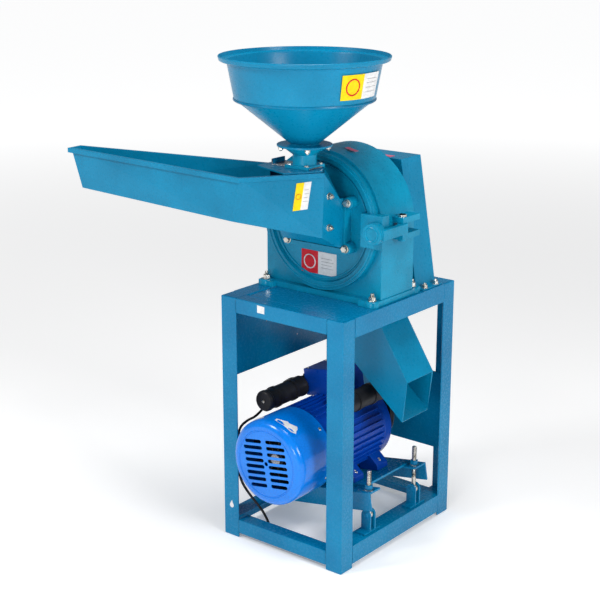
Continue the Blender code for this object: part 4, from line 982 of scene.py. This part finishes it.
def fan_cover():
    """Pressed cowl: rounded shoulder, a raised ring and rows of air slots in its face."""
    low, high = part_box("fan_cover")
    front, back = low[1], high[1]
    radius, face, sheet = COWL_R, COWL_FACE_R, COWL_SHEET
    depth = back - front
    outside = [(radius, 0), (radius, depth - COWL_SHOULDER)]
    for i in range(1, 7):
        turn = radians(15 * i)
        outside.append((radius - (radius - face) * (1 - cos(turn)), depth - COWL_SHOULDER
                        + COWL_SHOULDER * sin(turn)))
    outside += [(0.0735, depth), (0.0725, depth - 0.0012), (0.0705, depth - 0.0012),
                (0.0695, depth - 0.0002)]
    inside = [(0.0690, depth - sheet), (0.0760, depth - sheet - 0.001), (0.0850, depth - sheet - 0.006),
              (radius - sheet, depth - 0.017), (radius - sheet, 0)]
    profile = outside + [(0.0, depth - 0.0002), (0.0, depth - sheet)] + inside
    cowl = piece("cowl", to_mesh("cowl", lathe_work(profile, (MOTOR.x, back, MOTOR.z), (0, -1, 0), 96)),
                 "blue", "motor", 35)
    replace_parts(cowl, "fan_cover")
    slots = []
    turn = plate_space()
    for column in (-1, 1):
        for row in range(8):
            z = (row - 3.5) * 0.0136
            reach = (0.0685 ** 2 - z ** 2) ** 0.5
            long = min(0.050, reach - 0.0055)
            if long < 0.012:
                continue
            x0 = column * 0.0055 if column > 0 else -0.0055 - long
            slots.append(placed(rounded_bar(x0, z, long, 0.0078, front - 0.004, front + 0.006), turn))
    slots.append(placed(lathe_work([(0, -0.006), (0.0045, -0.006), (0.0045, 0.004), (0, 0.004)],
                                   (0, front, 0), (0, -1, 0), 20), turn))
    carve(cowl, slots)
    for i, angle in enumerate((35, 145, 215, 325)):
        at = turn @ Vector(((radius - 0.0006) * cos(radians(angle)), back - 0.010,
                            (radius - 0.0006) * sin(radians(angle))))
        out = turn.to_3x3() @ Vector((cos(radians(angle)), 0, sin(radians(angle))))
        lathe(f"cowl_screw_{i}", [(0, -0.001), (0.0042, -0.001), (0.0040, 0.0008), (0.0026, 0.0018),
                                  (0, 0.0020)], at, out, "zinc", "motor", 20)
    cowl_patches(front, radius)


def rounded_bar(x0, z, length, height, y0, y1):
    """A bar through the face along Y with round ends, as a cutter."""
    r = height / 2
    outline = arc(x0 + r, z, r, 90, 270, 6) + arc(x0 + length - r, z, r, -90, 90, 6)
    work = prism_work([(x, -zz) for x, zz in outline], y0, y1)
    return placed(work, Matrix.Rotation(radians(-90), 4, "X"))


def cowl_patches(front, radius):
    """Torn white paper left on the cowl, in a wide and a small patch."""
    turn = plate_space()

    def on_cowl(angle, y, lift=0.0004):
        a = radians(angle)
        return turn @ Vector(((radius + lift) * cos(a), y, (radius + lift) * sin(a)))

    shapes = {"paper_wide": (58, -0.214, 15, 0.020, "white"),
              "paper_small": (104, -0.216, 7, 0.012, "white")}
    for name, (angle, y, half_angle, half_y, material) in shapes.items():
        work = bmesh.new()
        edge = []
        for i in range(22):
            t = 2 * pi * i / 22
            wobble = 1 + 0.22 * sin(3 * t + 1) + 0.14 * sin(7 * t)
            edge.append((angle + half_angle * wobble * cos(t), y + half_y * wobble * sin(t)))
        top = [work.verts.new(on_cowl(a, min(max(yy, front + 0.019), -0.14), 0.0006)) for a, yy in edge]
        under = [work.verts.new(on_cowl(a, min(max(yy, front + 0.019), -0.14), 0.0001)) for a, yy in edge]
        hub_top, hub_under = work.verts.new(on_cowl(angle, y, 0.0006)), work.verts.new(on_cowl(angle, y,
                0.0001))
        for i in range(22):
            j = (i + 1) % 22
            work.faces.new([hub_top, top[i], top[j]])
            work.faces.new([hub_under, under[j], under[i]])
            work.faces.new([top[i], under[i], under[j], top[j]])
        piece(name, to_mesh(name, work), material, "motor", 0)


def fan():
    low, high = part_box("motor_fan")
    blades = [box_work((0.016, low[1] + 0.004, -0.0012), (0.068, high[1] - 0.006, 0.0012)) for _ in range(9)]
    turned = [placed(b, Matrix.Translation((MOTOR.x, 0, MOTOR.z)) @ Matrix.Rotation(2 * pi * i / 9, 4, "Y"))
              for i, b in enumerate(blades)]
    hub = lathe_work([(0.0124, 0), (0.0185, 0), (0.0185, high[1] - low[1] - 0.004),
                      (0.0124, high[1] - low[1] - 0.004)], (MOTOR.x, low[1] + 0.002, MOTOR.z), (0, 1, 0),
                     32)
    back = lathe_work([(0.017, 0), (0.070, 0), (0.070, 0.003), (0.017, 0.003)], (MOTOR.x, high[1] - 0.006,
            MOTOR.z), (0, 1, 0), 48)
    made = piece("fan_blades", to_mesh("fan_blades", merge(turned + [hub, back])), "black", "motor_rotor",
                 30)
    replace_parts(made, "motor_fan")


def electrics():
    for node in ("capacitor_start", "capacitor_run"):
        low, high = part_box(node)
        x, z = (low[0] + high[0]) / 2, (low[2] + high[2]) / 2
        radius, long = 0.023, high[1] - low[1]
        section = [(0, 0), (radius - 0.004, 0), (radius - 0.0035, 0.002), (radius - 0.0015, 0.0022),
                   (radius, 0.004), (radius, 0.010), (radius - 0.0012, 0.0125),
                   (radius - 0.0012, long - 0.012), (radius, long - 0.010), (radius, long - 0.004),
                   (radius - 0.0016, long - 0.0012), (radius - 0.0035, long), (0, long)]
        made = lathe(f"{node}_case", section, (x, high[1], z), (0, -1, 0), "black", "motor", 48)
        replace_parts(made, node)
        for i, share in enumerate((0.30, 0.72)):
            lathe(f"{node}_strap_{i}", [(radius - 0.0012, -0.004), (radius + 0.0006, -0.004),
                                        (radius + 0.0006, 0.004), (radius - 0.0012, 0.004)],
                  (x, high[1] - long * share, z), (0, -1, 0), "black", "motor", 48)
        lathe(f"{node}_screw", [(0, 0), (0.0034, 0), (0.0032, 0.0012), (0.0018, 0.0016), (0.0014, 0.0008),
                                (0, 0.0008)], (x, low[1], z), (0, -1, 0), "zinc", "motor", 16)
    up = tilted(0, 1) - tilted(0, 0)
    for i, (u, y) in enumerate(((0.110, -0.013), (0.194, -0.013), (0.110, 0.053), (0.194, 0.053))):
        lathe(f"box_screw_{i}", [(0, -0.0005), (0.0032, -0.0005), (0.0030, 0.0010), (0, 0.0014)],
              tilted(u, 0.2622, y), up, "zinc", "motor", 16)


def mountings():
    """Motor feet bolts, plate pivot, eyebolts, nuts and clevises."""
    up = tilted(0, 1) - tilted(0, 0)
    for i, (u, y) in enumerate(((MOTOR_U - 0.078, -0.047), (MOTOR_U + 0.078, -0.047),
                                (MOTOR_U - 0.078, 0.039), (MOTOR_U + 0.078, 0.039))):
        bolt(f"motor_foot_bolt_{i}", tilted(u, FEET_TOP, y), up, "motor", 0.0038, True, 0.004)
    soften("pivot_bracket", 0.0010, "gloss", "stand")
    for end in ("front", "rear"):
        soften(f"clevis_{end}", 0.0009, "gloss", "stand")
        eyebolt(end)


def eyebolt(end):
    body = f"eyebolt_{end}"
    low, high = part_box(body)
    y = (low[1] + high[1]) / 2
    eye = lathe_work(ring_section(0.0055, 0.0100, 0.0042), (EYEBOLT_X, y, EYE_Z), (0, 1, 0), 32)
    shank = lathe_work([(0, EYE_Z + 0.0085), (0.0046, EYE_Z + 0.0085), (0.0046, 0.116), (0, 0.116)],
                       (EYEBOLT_X, y, 0), (0, 0, 1), 24)
    thread = placed(thread_work(BOLT_R, 0.1155, high[2]), Matrix.Translation((EYEBOLT_X, y, 0)))
    made = piece(f"{body}_threaded", to_mesh(body, merge([eye, shank, thread])), "zinc", body, 30)
    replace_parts(made, body)
    nut_low, nut_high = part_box(f"nut_{end}")
    nut = piece(f"nut_{end}_hex", to_mesh(f"nut_{end}", prism_work([(EYEBOLT_X + px, y + py) for px,
            py in hexagon(0.0092)], nut_low[2] + 0.0012, nut_high[2])), "gloss", f"nut_{end}", 0)
    rounded(nut, 0.0008, 2)
    lathe(f"nut_{end}_washer", [(0.0053, 0), (0.0100, 0), (0.0100, 0.0010), (0.0053, 0.0010)],
          (EYEBOLT_X, y, nut_low[2] + 0.0001), (0, 0, 1), "zinc", f"nut_{end}", 28)
    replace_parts(nut, f"nut_{end}")


def ring_section(inner, outer, half):
    """A rounded ring's section about its own middle."""
    mid, wide = (inner + outer) / 2, (outer - inner) / 2
    return [(mid + wide * cos(radians(t)), half * sin(radians(t))) for t in range(0, 360, 30)]


# ---------------------------------------------------------------- inside

def inside():
    material_of("screen_ring", "holes")
    for node in ("rotor_disc", "hammer_carrier", "rotor_shaft"):
        material_of(node, "iron")
    for k in range(1, 5):
        soften(f"hammer_{k}", 0.0009, "steel", f"hammer_{k}")


def domes():
    """Small pink stickers left on the housing and the guard."""
    flat_patch("dome_sticker", [(0, 0), (0.026, 0), (0.026, 0.012), (0, 0.012)], (0.032, -0.030, 0.8452),
               (1, 0, -0.22), (0, 1, 0), "pink", "stand", 0.0004)
    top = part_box("belt_guard")[1][2]
    flat_patch("guard_sticker", [(0, 0), (0.030, 0), (0.030, 0.016), (0, 0.016)], (0.030, 0.092, top),
               (1, 0, 0), (0, 1, 0), "pink", "stand", 0.0004)


studio()
lead, path, length = mains_lead()
plug_and_gland(path)
stand()
mill()
feed()
chute()
drive()
motor()
inside()
domes()
